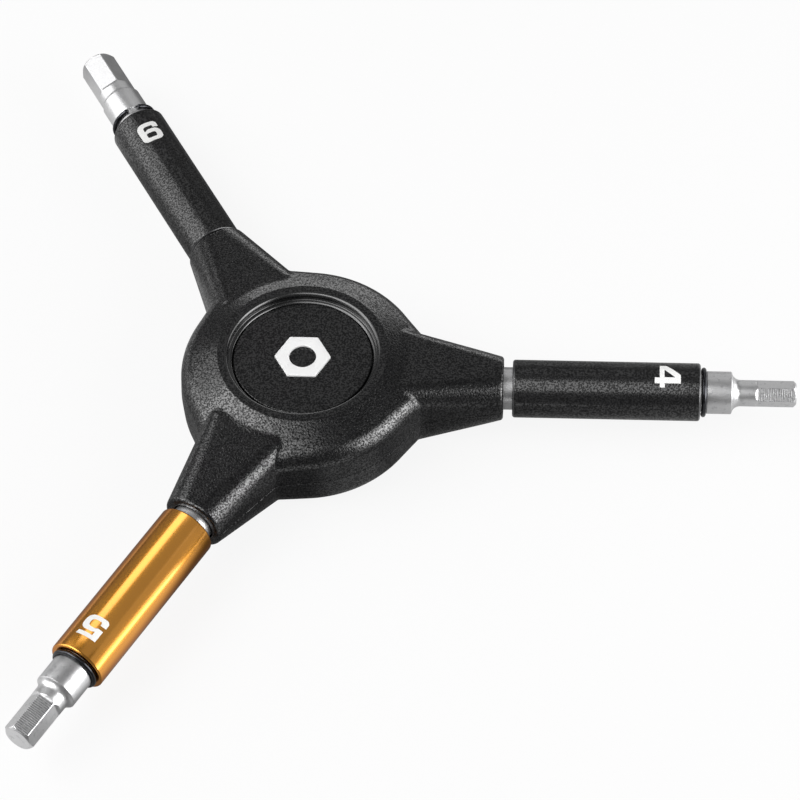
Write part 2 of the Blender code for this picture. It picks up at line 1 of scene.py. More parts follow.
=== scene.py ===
# %% [markdown]
# # A three-arm hex wrench, dressed for a photograph
# The sizes and the joints of this tool come from a CAD model, which is loaded first and stays
# as it is. This script adds what the eye sees: finer skins over the solids, finishes, painted
# numbers, a floor, lamps and a camera. Every new piece says which moving body it belongs to.

import itertools
import json
import math

import bmesh
import bpy
import numpy as np
from mathutils import Matrix, Vector

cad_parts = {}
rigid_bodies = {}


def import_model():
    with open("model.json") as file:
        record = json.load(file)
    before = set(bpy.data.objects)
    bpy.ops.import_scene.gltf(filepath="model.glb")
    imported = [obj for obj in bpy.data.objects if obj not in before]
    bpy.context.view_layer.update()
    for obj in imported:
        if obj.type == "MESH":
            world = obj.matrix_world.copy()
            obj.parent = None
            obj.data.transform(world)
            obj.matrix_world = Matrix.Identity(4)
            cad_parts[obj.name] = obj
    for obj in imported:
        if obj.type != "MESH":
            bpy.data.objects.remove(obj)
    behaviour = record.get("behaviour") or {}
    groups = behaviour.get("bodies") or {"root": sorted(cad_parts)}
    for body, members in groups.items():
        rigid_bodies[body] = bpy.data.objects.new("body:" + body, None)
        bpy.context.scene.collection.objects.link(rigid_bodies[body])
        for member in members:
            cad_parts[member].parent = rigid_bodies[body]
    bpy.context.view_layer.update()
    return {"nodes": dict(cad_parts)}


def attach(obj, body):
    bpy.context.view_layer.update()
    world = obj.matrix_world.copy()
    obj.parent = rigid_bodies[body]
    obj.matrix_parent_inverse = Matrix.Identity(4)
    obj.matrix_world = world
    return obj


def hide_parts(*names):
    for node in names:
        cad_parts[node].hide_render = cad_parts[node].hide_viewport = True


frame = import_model()
nodes = frame["nodes"]

# %% [markdown]
# ## Sizes
# The real tool is drawn in millimetres, so this script thinks in millimetres too and changes
# them to metres only where a mesh is made. An arm is worked out lying along X, and one turn
# about Z puts it in its place. That way all three arms share the same few functions.

# %% Sizes and places shared by the pieces
MM = 0.001
ARM_TURN = {4: 0, 5: -120, 6: 120}
MID_PLANE = 9.0
SHANK_RADIUS = 3.675


def arm_frame(arm):
    """The place of an arm: X points outward along it, from the hub's middle."""
    turn = Matrix.Rotation(math.radians(ARM_TURN[arm]), 4, "Z")
    return Matrix.Translation((0, 0, MID_PLANE * MM)) @ turn


def reach_of(node, arm):
    """Nearest and furthest reach of a CAD node along its arm, in millimetres."""
    outward = arm_frame(arm).to_3x3() @ Vector((1, 0, 0))
    reach = [point.co @ outward / MM for point in nodes[node].data.vertices]
    return min(reach), max(reach)


for arm in ARM_TURN:
    print("arm", arm, "sleeve from", [round(end, 2) for end in reach_of(f"sleeve_{arm}", arm)])

# %% [markdown]
# ## The camera
# A product photograph of a small tool is taken with a long lens, here from about two thirds
# of a metre away. The angle was found by laying the model's outline over the photograph. The
# camera looks from the front, a little more than 50 degrees above the table, and leans by a
# degree and a half.

# %% Camera
AZIMUTH, ELEVATION, LEAN = 3.53, 52.62, -1.63
CAMERA_DISTANCE = 645.0
LENS = 168.21
LOOK_AT = Vector((16.70, -3.0, 9.0))

azimuth, elevation, lean = map(math.radians, (AZIMUTH, ELEVATION, LEAN))
backward = Vector(
    (
        math.sin(azimuth) * math.cos(elevation),
        -math.cos(azimuth) * math.cos(elevation),
        math.sin(elevation),
    )
)
level = Vector((math.cos(azimuth), math.sin(azimuth), 0))
upward = backward.cross(level)
sideways = level * math.cos(lean) + upward * math.sin(lean)
upright = upward * math.cos(lean) - level * math.sin(lean)
camera = bpy.data.objects.new("camera", bpy.data.cameras.new("camera"))
camera.data.lens = LENS
camera.data.clip_end = 20
camera.matrix_world = Matrix.Translation((LOOK_AT + backward * CAMERA_DISTANCE) * MM) @ (
    Matrix((sideways, upright, backward)).transposed().to_4x4()
)
bpy.context.scene.collection.objects.link(camera)
bpy.context.scene.camera = camera
print("camera at", [round(value, 4) for value in camera.matrix_world.translation])

# %% [markdown]
# ## A short way to write shader maths
# Node trees get long when every sum is a node that has to be made, set and linked. The class
# below wraps one output socket, so that `0.4 + 0.2 * grain` makes the Math nodes by itself.
# The second class holds one material and makes any other kind of node from one method.


# %% Sockets that take part in sums
class Wire:
    """One output socket of a node tree, usable in ordinary Python sums."""

    def __init__(self, sheet, socket):
        self.sheet, self.socket = sheet, socket

    def __add__(self, other):
        return self.sheet.sum("ADD", self, other)

    def __sub__(self, other):
        return self.sheet.sum("SUBTRACT", self, other)

    def __rsub__(self, other):
        return self.sheet.sum("SUBTRACT", other, self)

    def __mul__(self, other):
        return self.sheet.sum("MULTIPLY", self, other)

    __radd__ = __add__
    __rmul__ = __mul__


class Sheet:
    """A node tree under construction."""

    def __init__(self, tree):
        self.tree = tree

    def node(self, kind, settings=None, inputs=None, outlet=0):
        """Adds a node: first its settings, then the values or links of its sockets."""
        made = self.tree.nodes.new(kind)
        for key, value in (settings or {}).items():
            setattr(made, key, value)
        for socket, value in (inputs or {}).items():
            self.join(value, made.inputs[socket])
        return Wire(self, made.outputs[outlet])

    def join(self, value, socket):
        """Links a wire to a socket, or sets the socket to a plain value."""
        if isinstance(value, Wire):
            self.tree.links.new(value.socket, socket)
        else:
            socket.default_value = value

    def sum(self, operation, first, second):
        return self.node("ShaderNodeMath", {"operation": operation}, {0: first, 1: second})

    def vector(self, operation, first, second=(0, 0, 0)):
        """Vector maths; a length is a number, so it leaves by the socket called Value."""
        outlet = "Value" if operation == "LENGTH" else "Vector"
        inputs = {0: first, 1: second}
        return self.node("ShaderNodeVectorMath", {"operation": operation}, inputs, outlet)

    def between(self, value, low, high):
        """How far a value has come from low to high, eased and kept between 0 and 1."""
        return self.node(
            "ShaderNodeMapRange",
            {"interpolation_type": "SMOOTHSTEP"},
            {"Value": value, "From Min": low, "From Max": high},
        )

    def shade(self, share, first, second):
        """A colour between two colours."""
        colours = [c if isinstance(c, Wire) else (*c, 1) for c in (first, second)]
        inputs = {0: share, 6: colours[0], 7: colours[1]}
        return self.node("ShaderNodeMix", {"data_type": "RGBA"}, inputs, 2)

    def mix_shaders(self, share, first, second):
        """A shader between two shaders."""
        return self.node("ShaderNodeMixShader", inputs={0: share, 1: first, 2: second})


# %% [markdown]
# ## One start for every finish
# All finishes are read in the piece's own space, so their pattern sticks to the metal or the
# plastic when a sleeve turns. Sizes of the grain are given in millimetres and turned into the
# scale that the noise node wants. Numbers that are the same all over go on the shader itself.


# %% A finish and its patterns
class Finish(Sheet):
    """One material with a Principled shader."""

    def __init__(self, name, fixed):
        self.material = bpy.data.materials.new(name)
        self.material.use_nodes = True
        super().__init__(self.material.node_tree)
        self.shader = self.tree.nodes["Principled BSDF"]
        for socket, value in fixed.items():
            self.shader.inputs[socket].default_value = value
        self.own_space = self.node("ShaderNodeTexCoord", outlet="Object")

    def noise(self, grain, stretch=(1, 1, 1), detail=2.0):
        """Smooth noise round 0.5 with a grain in millimetres, longer where stretched."""
        scale = Vector([1 / (grain * MM * times) for times in stretch])
        stretched = self.vector("MULTIPLY", self.own_space, scale)
        inputs = {"Vector": stretched, "Scale": 1.0, "Detail": detail}
        return self.node("ShaderNodeTexNoise", inputs=inputs)

    def along(self, axis):
        """The place along one axis of the piece, in metres."""
        return self.node("ShaderNodeSeparateXYZ", inputs={0: self.own_space}, outlet=axis)

    def relief(self, height, depth):
        """Feeds the shader's normal from a height between 0 and 1, which is depth mm deep."""
        bump = {"Strength": 1.0, "Distance": depth * MM, "Height": height}
        self.feed("Normal", self.node("ShaderNodeBump", inputs=bump))

    def feed(self, socket, value):
        self.join(value, self.shader.inputs[socket])


# %% [markdown]
# ## The black moulded shells
# The hub is glass-filled nylon from a mould whose walls were spark-eroded. That leaves an even
# matt grain of about a third of a millimetre, which breaks a highlight into small glints. A
# fine noise tilts the surface, another fine one gives the clear coat its glints, and a broad
# one changes how matt it is, as real plastic is never equally matt all over. The ring round
# the badge is smooth and glossy, as if that wall of the mould had been polished.

# %% Black moulded polymer
GLINTS = 0.4, 0.64
MOULD_GRAIN, MOULD_ROUGHNESS = 0.32, 0.22
RING_FADE = 0.2


def make_black_polymer(name, depth, polished=None):
    """Grained black plastic; polished is the (radius, height) where a smooth ring begins."""
    fixed = {"Specular IOR Level": 0.3, "Coat IOR": 1.7, "Coat Roughness": MOULD_ROUGHNESS}
    finish = Finish(name, fixed)
    fine = finish.noise(MOULD_GRAIN, detail=0.5)
    glints = finish.noise(MOULD_GRAIN * 0.9, detail=0.5)
    cloudy = finish.noise(9.0)
    dark, light = (0.001, 0.001, 0.0011), (0.006, 0.006, 0.0065)
    finish.feed("Base Color", finish.shade(fine, dark, light))
    finish.feed("Roughness", MOULD_ROUGHNESS - 0.05 + 0.1 * cloudy + 0.08 * fine)
    glossy, height = finish.between(glints, *GLINTS), fine
    if polished:
        radius, level = polished
        out = finish.vector("LENGTH", finish.vector("MULTIPLY", finish.own_space, (1, 1, 0)))
        above = finish.between(finish.along("Z"), level * MM, (level + RING_FADE) * MM)
        smooth = finish.between(out, (radius + RING_FADE) * MM, radius * MM) * above
        glossy = finish.sum("MAXIMUM", glossy, smooth)
        height = 0.5 * smooth + fine * (1 - smooth)
    finish.feed("Coat Weight", glossy)
    finish.relief(height, depth)
    return finish.material


black_polymer = make_black_polymer("black_polymer", 0.08, polished=(13.3, 6.2))
badge_polymer = make_black_polymer("badge_polymer", 0.07)
print(black_polymer.name, "has", len(black_polymer.node_tree.nodes), "nodes")

# %% [markdown]
# ## The anodised sleeves
# The three sleeves are thin aluminium tubes. Two are blasted and dyed black: the blasting shows
# as a finer grain than the plastic's. Their turned edges get a painted highlight, a lighter
# colour and a full clear coat, and the surface's own normal tells where those edges are. The
# third tube is drawn lengthwise and dyed gold, so its noise is stretched sixty times along the
# sleeve, and light runs in long streaks. Where it turns away from the eye, the gold is painted
# darker and more orange: a painted shade.

# %% Black anodised aluminium
EDGE_BEGINS, EDGE_ENDS = (0.3, 0.5), (0.85, 0.95)


def make_black_anodised():
    fixed = {"Specular IOR Level": 0.3, "Coat IOR": 1.7, "Coat Roughness": 0.2}
    finish = Finish("black_anodised", fixed)
    blasted = finish.noise(0.27, detail=0.5)
    glints = finish.noise(0.27, detail=0.5)
    cloudy = finish.noise(6.0)
    facing = finish.node("ShaderNodeTexCoord", outlet="Normal")
    facing = finish.node("ShaderNodeSeparateXYZ", inputs={0: facing}, outlet="X")
    facing = finish.node("ShaderNodeMath", {"operation": "ABSOLUTE"}, {0: facing})
    # The rounded ends, found from the normal, get a lighter colour and a full coat: a painted
    # highlight along the edges.
    painted_edge_highlight = finish.between(facing, *EDGE_BEGINS) * (1 - finish.between(facing, *EDGE_ENDS))
    black = finish.shade(blasted, (0.002, 0.002, 0.0022), (0.010, 0.010, 0.0105))
    finish.feed("Base Color", finish.shade(painted_edge_highlight, black, (0.05, 0.05, 0.052)))
    finish.feed("Roughness", 0.22 + 0.1 * cloudy + 0.08 * blasted)
    finish.feed("Coat Weight", finish.sum("MAXIMUM", finish.between(glints, *GLINTS), painted_edge_highlight))
    finish.relief(blasted, 0.06)
    return finish.material


black_anodised = make_black_anodised()
print(black_anodised.name, "has", len(black_anodised.node_tree.nodes), "nodes")


# %% Gold anodised aluminium
def make_gold_anodised():
    finish = Finish("gold_anodised", {"Metallic": 1.0, "Coat IOR": 1.7, "Coat Roughness": 0.15})
    drawn = finish.noise(0.3, stretch=(60, 1, 1))
    cloudy = finish.noise(7.0)
    toward_edge = finish.node("ShaderNodeLayerWeight", inputs={"Blend": 0.5}, outlet="Facing")
    # Where the tube turns away from the eye, the gold gets a darker, more orange colour and
    # less coat: a painted shade toward its outline.
    painted_edge_shade = finish.between(toward_edge, 0.25, 0.75)
    gold = finish.shade(cloudy, (0.87, 0.345, 0.010), (0.93, 0.39, 0.015))
    finish.feed("Base Color", finish.shade(painted_edge_shade, gold, (0.66, 0.22, 0.010)))
    finish.feed("Roughness", 0.17 + 0.06 * drawn + 0.04 * cloudy)
    finish.feed("Coat Weight", 1 - painted_edge_shade)
    finish.relief(drawn, 0.004)
    return finish.material


gold_anodised = make_gold_anodised()
print(gold_anodised.name, "has", len(gold_anodised.node_tree.nodes), "nodes")

# %% [markdown]
# ## Steel, wire and paint
# The keys are steel with a satin chrome plating. The shank is evenly matt, while a hexagon can
# keep the fine lines of the cutter that ran across it: they show on one flat of two keys, and
# fade in where the flats begin. Each key has its own share of darker stains. The wire rings are
# blackened spring steel. The numbers are thick white ink, and the raised nut outline on the
# badge is white enamel on metal.

# %% Satin chrome
CUTTER_PITCH, CUTTER_DEPTH, CUTTER_FADE = 0.39, 0.03, 0.1
CUT_FLAT = {4: -44, 5: 14, 6: None}
STAINED = {4: 0.35, 5: 0.3, 6: 0.06}


def make_satin_chrome(arm, flats_start, half_flats):
    """Plated steel for one key, whose flats begin at a reach and lie this far from its axis."""
    finish = Finish(f"satin_chrome_{arm}", {"Metallic": 1.0})
    matt = finish.noise(0.24, detail=1.0)
    cloudy = finish.noise(1.6)
    stains = finish.between(finish.noise(0.9), 0.56, 0.72)
    bright = finish.shade(cloudy, (0.76, 0.76, 0.77), (0.88, 0.88, 0.88))
    spotted = finish.shade(0.3 * matt + STAINED[arm] * stains, bright, (0.40, 0.40, 0.41))
    height = matt * 0.4
    if CUT_FLAT[arm] is not None:
        along = finish.along("X")
        turn = math.radians(CUT_FLAT[arm])
        rise = finish.along("Y") * math.sin(turn) + finish.along("Z") * math.cos(turn)
        on_flat = finish.between(rise, (half_flats - 0.06) * MM, (half_flats - 0.02) * MM)
        begun = finish.between(along, (flats_start - CUTTER_FADE) * MM, flats_start * MM)
        phase = along * (2 * math.pi / (CUTTER_PITCH * MM)) + 2.5 * finish.noise(0.8, (1, 4, 4))
        lines = 0.5 + 0.5 * finish.node("ShaderNodeMath", {"operation": "SINE"}, {0: phase})
        lines = lines * finish.between(finish.noise(0.4, (1, 2, 2)), 0.3, 0.6) * on_flat * begun
        spotted = finish.shade(0.75 * lines, spotted, (0.22, 0.22, 0.23))
        height = height + lines
    finish.feed("Base Color", spotted)
    finish.feed("Roughness", 0.25 + 0.14 * cloudy + 0.1 * matt)
    finish.relief(height, CUTTER_DEPTH)
    return finish.material


print("cutter lines on keys", [arm for arm, flat in CUT_FLAT.items() if flat is not None])


# %% Wire, ink and enamel
def make_black_wire():
    finish = Finish("black_wire", {"Metallic": 1.0})
    drawn = finish.noise(0.3)
    finish.feed("Base Color", finish.shade(drawn, (0.03, 0.031, 0.034), (0.09, 0.092, 0.10)))
    finish.feed("Roughness", 0.14 + 0.12 * drawn)
    return finish.material


def make_paint(name, dark, light, roughness, depth):
    """Anything that is only a little uneven in colour, mattness and height."""
    finish = Finish(name, {})
    grain = finish.noise(0.18)
    finish.feed("Base Color", finish.shade(grain, dark, light))
    finish.feed("Roughness", roughness + 0.1 * grain)
    finish.relief(grain, depth)
    return finish.material


black_wire = make_black_wire()
white_ink = make_paint("white_ink", (0.77, 0.77, 0.76), (0.83, 0.83, 0.82), 0.45, 0.006)
white_enamel = make_paint("white_enamel", (0.67, 0.67, 0.67), (0.72, 0.72, 0.72), 0.3, 0.004)
print("finishes:", sorted(material.name for material in bpy.data.materials))

# %% [markdown]
# ## From points to a piece
# Most pieces here are rows of points that are skinned with quads. One function makes the faces
# of such a grid, and one turns points and faces into an object, puts it on the body that it
# rides on, and hides the CAD solid it stands for.

# %% Points, faces and meshes
SAME_POINT = 1e-8


def grid_faces(rows, columns):
    """Quads over rows of equal length, each of which closes on itself."""
    number = np.arange(rows * columns).reshape(rows, columns)
    number = np.hstack([number, number[:, :1]])
    corners = (number[:-1, :-1], number[:-1, 1:], number[1:, 1:], number[1:, :-1])
    return np.stack([corner.ravel() for corner in corners], axis=1).tolist()


def open_shape(mesh):
    """A mesh's points and faces, ready to be changed."""
    shape = bmesh.new()
    shape.from_mesh(mesh)
    return shape


def close_shape(shape, mesh):
    """Writes a changed shape back into its mesh, with its faces turned outward."""
    bmesh.ops.recalc_face_normals(shape, faces=shape.faces)
    shape.to_mesh(mesh)
    shape.free()
    return mesh


def mesh_of(name, points, faces):
    """A mesh from points in millimetres, in which points at the same place become one."""
    mesh = bpy.data.meshes.new(name)
    mesh.from_pydata((np.asarray(points) * MM).tolist(), [], faces)
    shape = open_shape(mesh)
    bmesh.ops.remove_doubles(shape, verts=shape.verts, dist=SAME_POINT)
    return close_shape(shape, mesh)


# %% A piece of the tool
def add_piece(name, mesh, finish, body, place, stands_for=None, sharp=30):
    """Shows a mesh as a piece of the tool that rides on a body."""
    mesh.shade_smooth()
    mesh.set_sharp_from_angle(angle=math.radians(sharp))
    mesh.materials.clear()
    mesh.materials.append(finish)
    piece = bpy.data.objects.new(name, mesh)
    piece.matrix_world = place
    bpy.context.scene.collection.objects.link(piece)
    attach(piece, body)
    if stands_for:
        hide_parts(stands_for)
    print(f"{name}: {len(mesh.polygons)} faces on {body}")


# %% Outlines, and turning them
def rounded(corners, steps=6, closed=False):
    """An outline of (x, y, radius) corners with arcs of this many steps."""
    points = []
    count = len(corners)
    for index, (x, y, radius) in enumerate(corners):
        corner = Vector((x, y))
        if radius == 0 or (not closed and index in (0, count - 1)):
            points.append(corner)
            continue
        before = Vector(corners[index - 1][:2]) - corner
        after = Vector(corners[(index + 1) % count][:2]) - corner
        half = before.angle(after) / 2
        setback = min(radius / math.tan(half), before.length / 2, after.length / 2)
        middle = corner + (before.normalized() + after.normalized()).normalized() * (
            setback / math.cos(half)
        )
        start = corner + before.normalized() * setback - middle
        sweep = start.angle_signed(corner + after.normalized() * setback - middle)
        for step in range(steps + 1):
            points.append(middle + Matrix.Rotation(-sweep * step / steps, 2) @ start)
    return points


def turned(name, outline, sides, axis="X", closed=False):
    """Spins an outline of (along, radius) points in millimetres about X or Z."""
    angles = np.arange(sides) * 2 * math.pi / sides
    along = np.array([point[0] for point in outline])[:, None] + 0 * angles
    radius = np.array([point[1] for point in outline])[:, None]
    first, second = radius * np.sin(angles), radius * np.cos(angles)
    order = (along, first, second) if axis == "X" else (first, second, along)
    points = np.stack(order, axis=2)
    rows = len(outline)
    if closed:
        points = np.vstack([points, points[:1]])
        rows += 1
    return mesh_of(name, points.reshape(-1, 3), grid_faces(rows, sides))


# %% [markdown]
# ## The hub as a distance field
# The hub is hard to make by joining solids: three tapering arms grow out of a domed disc, and
# a soft valley runs where they meet. A distance field makes that easy. For any point it says
# how far away the surface is, and two fields join with a rounded valley, or cut each other
# with a rounded edge, by one short formula. The zero of the field is the skin. Heights count
# from the parting plane between the two shells, so that both share one list of sizes.

# %% Sizes of the hub
PARTING = 0.06
PARTING_EDGE = 0.04
HUB_RADIUS, HUB_TOP = 21.3, 9.0
WALL_TOP, WALL_DRAFT = 5.895, 0.3
SLOPE_START, SLOPE_MIDDLE, SLOPE_END = (14.6, 9.0), (17.6, 7.567), (21.0, 5.895)
FLARE, FLARE_FROM, FLARE_OVER = 0.9, math.radians(21), math.radians(14)
SHOULDER_EDGE, BROW_EDGE = 2.0, 0.07
RECESS_RADIUS, RIM_EDGE, FOOT_FILLET = 12.85, 0.6, 0.15
BADGE_HOLE, BADGE_SEAT, LEDGE, LEDGE_EDGE = 12.05, 6.05, 7.5, 0.6
FOOT_RADIUS, FOOT_EDGE = 14.2, 0.04
CREASE, COLLAR_END = 17.679, 34.5
ROOT_RADIUS, COLLAR_RADIUS, ROOT_RISE = 8.495, 5.545, 2.3
HUB_FACET, COLLAR_FACET = 7.563, 5.24
ROOT_START, COLLAR_EDGE = 15.05, 0.5
RIDGE_AT_HUB, RIDGE_AT_COLLAR = 2.6, 4.4
BORE_RADIUS, BORE_START, MOUTH_EDGE = 3.875, 31.0, 0.2
VALLEY_CREASE, VALLEY_WALL, VALLEY_LOW, VALLEY_HIGH = 0.25, 0.5, 0.5, 4.5


def round_join(first, second, radius):
    """Two fields as one body, with a valley of this radius between them."""
    nearest = np.maximum(radius, np.minimum(first, second))
    return nearest - np.hypot(np.maximum(radius - first, 0), np.maximum(radius - second, 0))


def round_cut(first, second, radius):
    """What two fields have in common, with an edge of this radius."""
    return -round_join(-first, -second, radius)


def beyond(radius, height, start, end):
    """Distance outside the cone through two (radius, height) points of the hub's profile."""
    run, fall = end[0] - start[0], start[1] - end[1]
    length = math.hypot(run, fall)
    return (fall * (radius - start[0]) + run * (height - start[1])) / length


# %% [markdown]
# The two shells share their outside, so one field serves both. The upper shell has a recess
# for the badge, and the lower one a flat foot. Seen along an arm, its root is an arch on
# upright flanks, with its top planed off by the sloping facet that catches the light. The
# round wall flares out a little as it comes to an arm.

# %% The field of an arm's root
def root_section(across, height, radius, facet, rise, ridge):
    """Distance outside an arch whose top is planed off, with round edges of radius ridge."""
    inner, high = radius - ridge, facet - ridge - rise
    corner = np.sqrt(inner**2 - high**2)
    tall = height - rise
    plain = np.maximum(np.hypot(across, np.maximum(tall, 0)) - radius, height - facet)
    on_edge = (across > corner) & (corner * tall > high * across)
    return np.where(on_edge, np.hypot(across - corner, tall - high) - ridge, plain)


def root_field(along, across, height):
    """Distance outside one arm root."""
    blend = np.maximum((along - CREASE) / (COLLAR_END - COLLAR_EDGE - CREASE), 0)
    radius = ROOT_RADIUS + (COLLAR_RADIUS - ROOT_RADIUS) * blend
    facet = HUB_FACET + (COLLAR_FACET - HUB_FACET) * blend
    rise = ROOT_RISE * np.maximum(1 - blend, 0)
    ridge = RIDGE_AT_HUB + (RIDGE_AT_COLLAR - RIDGE_AT_HUB) * np.sqrt(np.minimum(blend, 1))
    body = root_section(across, height, radius, facet, rise, ridge)
    body = round_cut(body, along - COLLAR_END, COLLAR_EDGE)
    return np.maximum(body, ROOT_START - along)


# %% The field of the round part
def hub_field(radius, angle, height, cupped):
    """Distance outside the round part of one shell, which flares a little toward each arm."""
    flare = FLARE * np.clip(1 - (angle - FLARE_FROM) / FLARE_OVER, 0, 1) ** 2
    wall = radius - HUB_RADIUS - flare + WALL_DRAFT * height / WALL_TOP
    upper = beyond(radius, height, SLOPE_START, SLOPE_MIDDLE)
    slope = np.maximum(upper, beyond(radius, height, SLOPE_MIDDLE, SLOPE_END))
    if cupped:
        ledge = round_cut(height - LEDGE, BADGE_HOLE - radius, LEDGE_EDGE)
        wall_in = round_join(RECESS_RADIUS - radius, ledge, FOOT_FILLET)
        cup = np.minimum(wall_in, height - BADGE_SEAT)
        top = round_cut(round_cut(height - HUB_TOP, slope, BROW_EDGE), cup, RIM_EDGE)
    else:
        skirt = beyond(radius, height, (FOOT_RADIUS, HUB_TOP), SLOPE_MIDDLE)
        top = round_cut(height - HUB_TOP, np.maximum(skirt, slope), FOOT_EDGE)
    return round_cut(top, wall, SHOULDER_EDGE)


# %% The field of one shell
def shell_field(x, y, z, cupped):
    """Distance outside one shell, folded so that every point counts from its nearest arm."""
    radius = np.hypot(x, y)
    turn = np.radians(60)
    angle = np.abs((np.arctan2(y, x) + turn) % (2 * turn) - turn)
    along, across = radius * np.cos(angle), radius * np.sin(angle)
    root = root_field(along, across, z)
    share = np.clip((z - VALLEY_LOW) / (VALLEY_HIGH - VALLEY_LOW), 0, 1)
    share = share * share * (3 - 2 * share)
    valley = VALLEY_WALL + (VALLEY_CREASE - VALLEY_WALL) * share
    whole = round_join(hub_field(radius, angle, z, cupped), root, valley)
    mouth = np.maximum(along - (COLLAR_END - MOUTH_EDGE), 0)
    bore = np.maximum(np.hypot(across, z) - BORE_RADIUS - mouth, BORE_START - along)
    low = np.clip(PARTING_EDGE - (z - PARTING), 0, PARTING_EDGE)
    edge = PARTING_EDGE - np.sqrt(PARTING_EDGE**2 - low**2)
    return np.maximum(whole, -bore) + edge


for place in ((0, 0, 5), (0, 0, 8), (-25, 0, 5)):
    print("at", place, "the skin is", round(float(shell_field(*place, True)), 2), "mm away")


# %% [markdown]
# ## Skinning the field
# The field is sampled on a lattice of rings round the hub, so round edges stay crisp. Each
# lattice cell that the skin passes through gets one point, at the average of the places where
# the cell's edges cross the skin. Neighbouring points are joined with quads. Then every point
# slides along the field's slope until it lies on the skin exactly.


# %% One point in each crossed cell
def skin_of(field, radii, turns, heights):
    """Points and quads of the field's zero, open at the lowest height and the inner radius."""
    angles = np.arange(turns) * 2 * math.pi / turns
    radius, angle, height = np.meshgrid(radii, angles, heights, indexing="ij")
    value = field(radius * np.cos(angle), radius * np.sin(angle), height)
    inside = value < 0

    def corner(lattice, offset):
        rolled = np.roll(lattice, -offset[1], axis=1)
        rings = slice(offset[0], len(radii) - 1 + offset[0])
        return rolled[rings, :, offset[2] : len(heights) - 1 + offset[2]]

    held = sum(corner(inside, o).astype(int) for o in itertools.product((0, 1), repeat=3))
    crossed = (held > 0) & (held < 8)
    number = np.full(crossed.shape, -1)
    number[crossed] = np.arange(crossed.sum())
    place = np.zeros((crossed.sum(), 3))
    cuts = np.zeros(crossed.sum())
    for axis in range(3):
        for sides in itertools.product((0, 1), repeat=2):
            start = np.insert(np.array(sides), axis, 0)
            end = np.insert(np.array(sides), axis, 1)
            first, second = corner(value, start)[crossed], corner(value, end)[crossed]
            cut = (first < 0) != (second < 0)
            at = np.tile(start.astype(float), (len(cut), 1))
            at[:, axis] = np.where(cut, first / np.where(cut, first - second, 1), 0)
            place += at * cut[:, None]
            cuts += cut
    place = np.argwhere(crossed) + place / cuts[:, None]
    out = np.interp(place[:, 0], np.arange(len(radii)), radii)
    turn = place[:, 1] * 2 * math.pi / turns
    up = np.interp(place[:, 2], np.arange(len(heights)), heights)
    points = np.stack([out * np.cos(turn), out * np.sin(turn), up], axis=1)
    return points, quads_of(inside, number)


# %% Quads between neighbouring points
def quads_of(inside, number):
    """The quad round each lattice edge that leaves or enters the body."""
    quads = []
    spans = {
        0: (inside[:-1, :, 1:-1], inside[1:, :, 1:-1], (0, 0, 1)),
        1: (inside[1:-1, :, 1:-1], np.roll(inside, -1, axis=1)[1:-1, :, 1:-1], (1, 0, 1)),
        2: (inside[1:-1, :, :-1], inside[1:-1, :, 1:], (1, 0, 0)),
    }
    for axis, (near, far, offset) in spans.items():
        at = np.argwhere(near != far) + np.array(offset)
        first, second = [a for a in range(3) if a != axis]
        ring = []
        for back_first, back_second in ((1, 1), (0, 1), (0, 0), (1, 0)):
            cell = at.copy()
            cell[:, first] -= back_first
            cell[:, second] -= back_second
            ring.append(number[cell[:, 0], cell[:, 1] % number.shape[1], cell[:, 2]])
        quads.append(np.stack(ring, axis=1))
    return np.vstack(quads)


# %% Slide the points onto the skin
SETTLE_ROUNDS, PROBE = 3, 0.01
LEAST_SLOPE, LONGEST_MOVE = 0.2, 0.15


def settle(field, points):
    """Moves points onto the field's zero; points on the parting plane stay on it."""
    resting = points[:, 2] < PARTING + PARTING_EDGE / 2
    points[resting, 2] = PARTING
    for _ in range(SETTLE_ROUNDS):
        value = field(*points.T)
        slope = np.zeros_like(points)
        for axis in range(3):
            step = np.zeros(3)
            step[axis] = PROBE
            rise = field(*(points + step).T) - field(*(points - step).T)
            slope[:, axis] = rise / (2 * PROBE)
        slope[resting, 2] = 0
        steepness = np.maximum((slope**2).sum(1), LEAST_SLOPE)
        move = slope * (value / steepness)[:, None]
        points -= np.clip(move, -LONGEST_MOVE, LONGEST_MOVE)
    return points


def levels(*stops):
    """Values from stop to stop; each stop after the first is (value, steps to get there)."""
    found = [stops[0]]
    for value, steps in stops[1:]:
        found += list(np.linspace(found[-1], value, steps + 1)[1:])
    return np.array(found)


# %% [markdown]
# The rings lie closer together where the profile bends: at the recess, the rim, the crease
# where the facets begin, and the shoulder. Near the parting plane the levels are a few
# hundredths apart, so that the two shells meet with a fine rounded seam.

# %% The two shells
SHELL_RADII = levels(
    11.9, (12.0, 1), (12.6, 8), (12.9, 3), (13.5, 8), (14.8, 9), (17.4, 10),
    (18.0, 4), (19.6, 8), (22.4, 19), (33.5, 46), (35.3, 13),
)  # fmt: skip
SHELL_HEIGHTS = levels(
    0.03, (0.09, 1), (0.15, 1), (0.3, 1), (0.6, 1), (5.0, 19), (6.0, 6), (6.1, 1),
    (7.4, 7), (7.6, 2), (8.9, 9), (9.15, 3),
)  # fmt: skip
SHELL_TURNS = 600


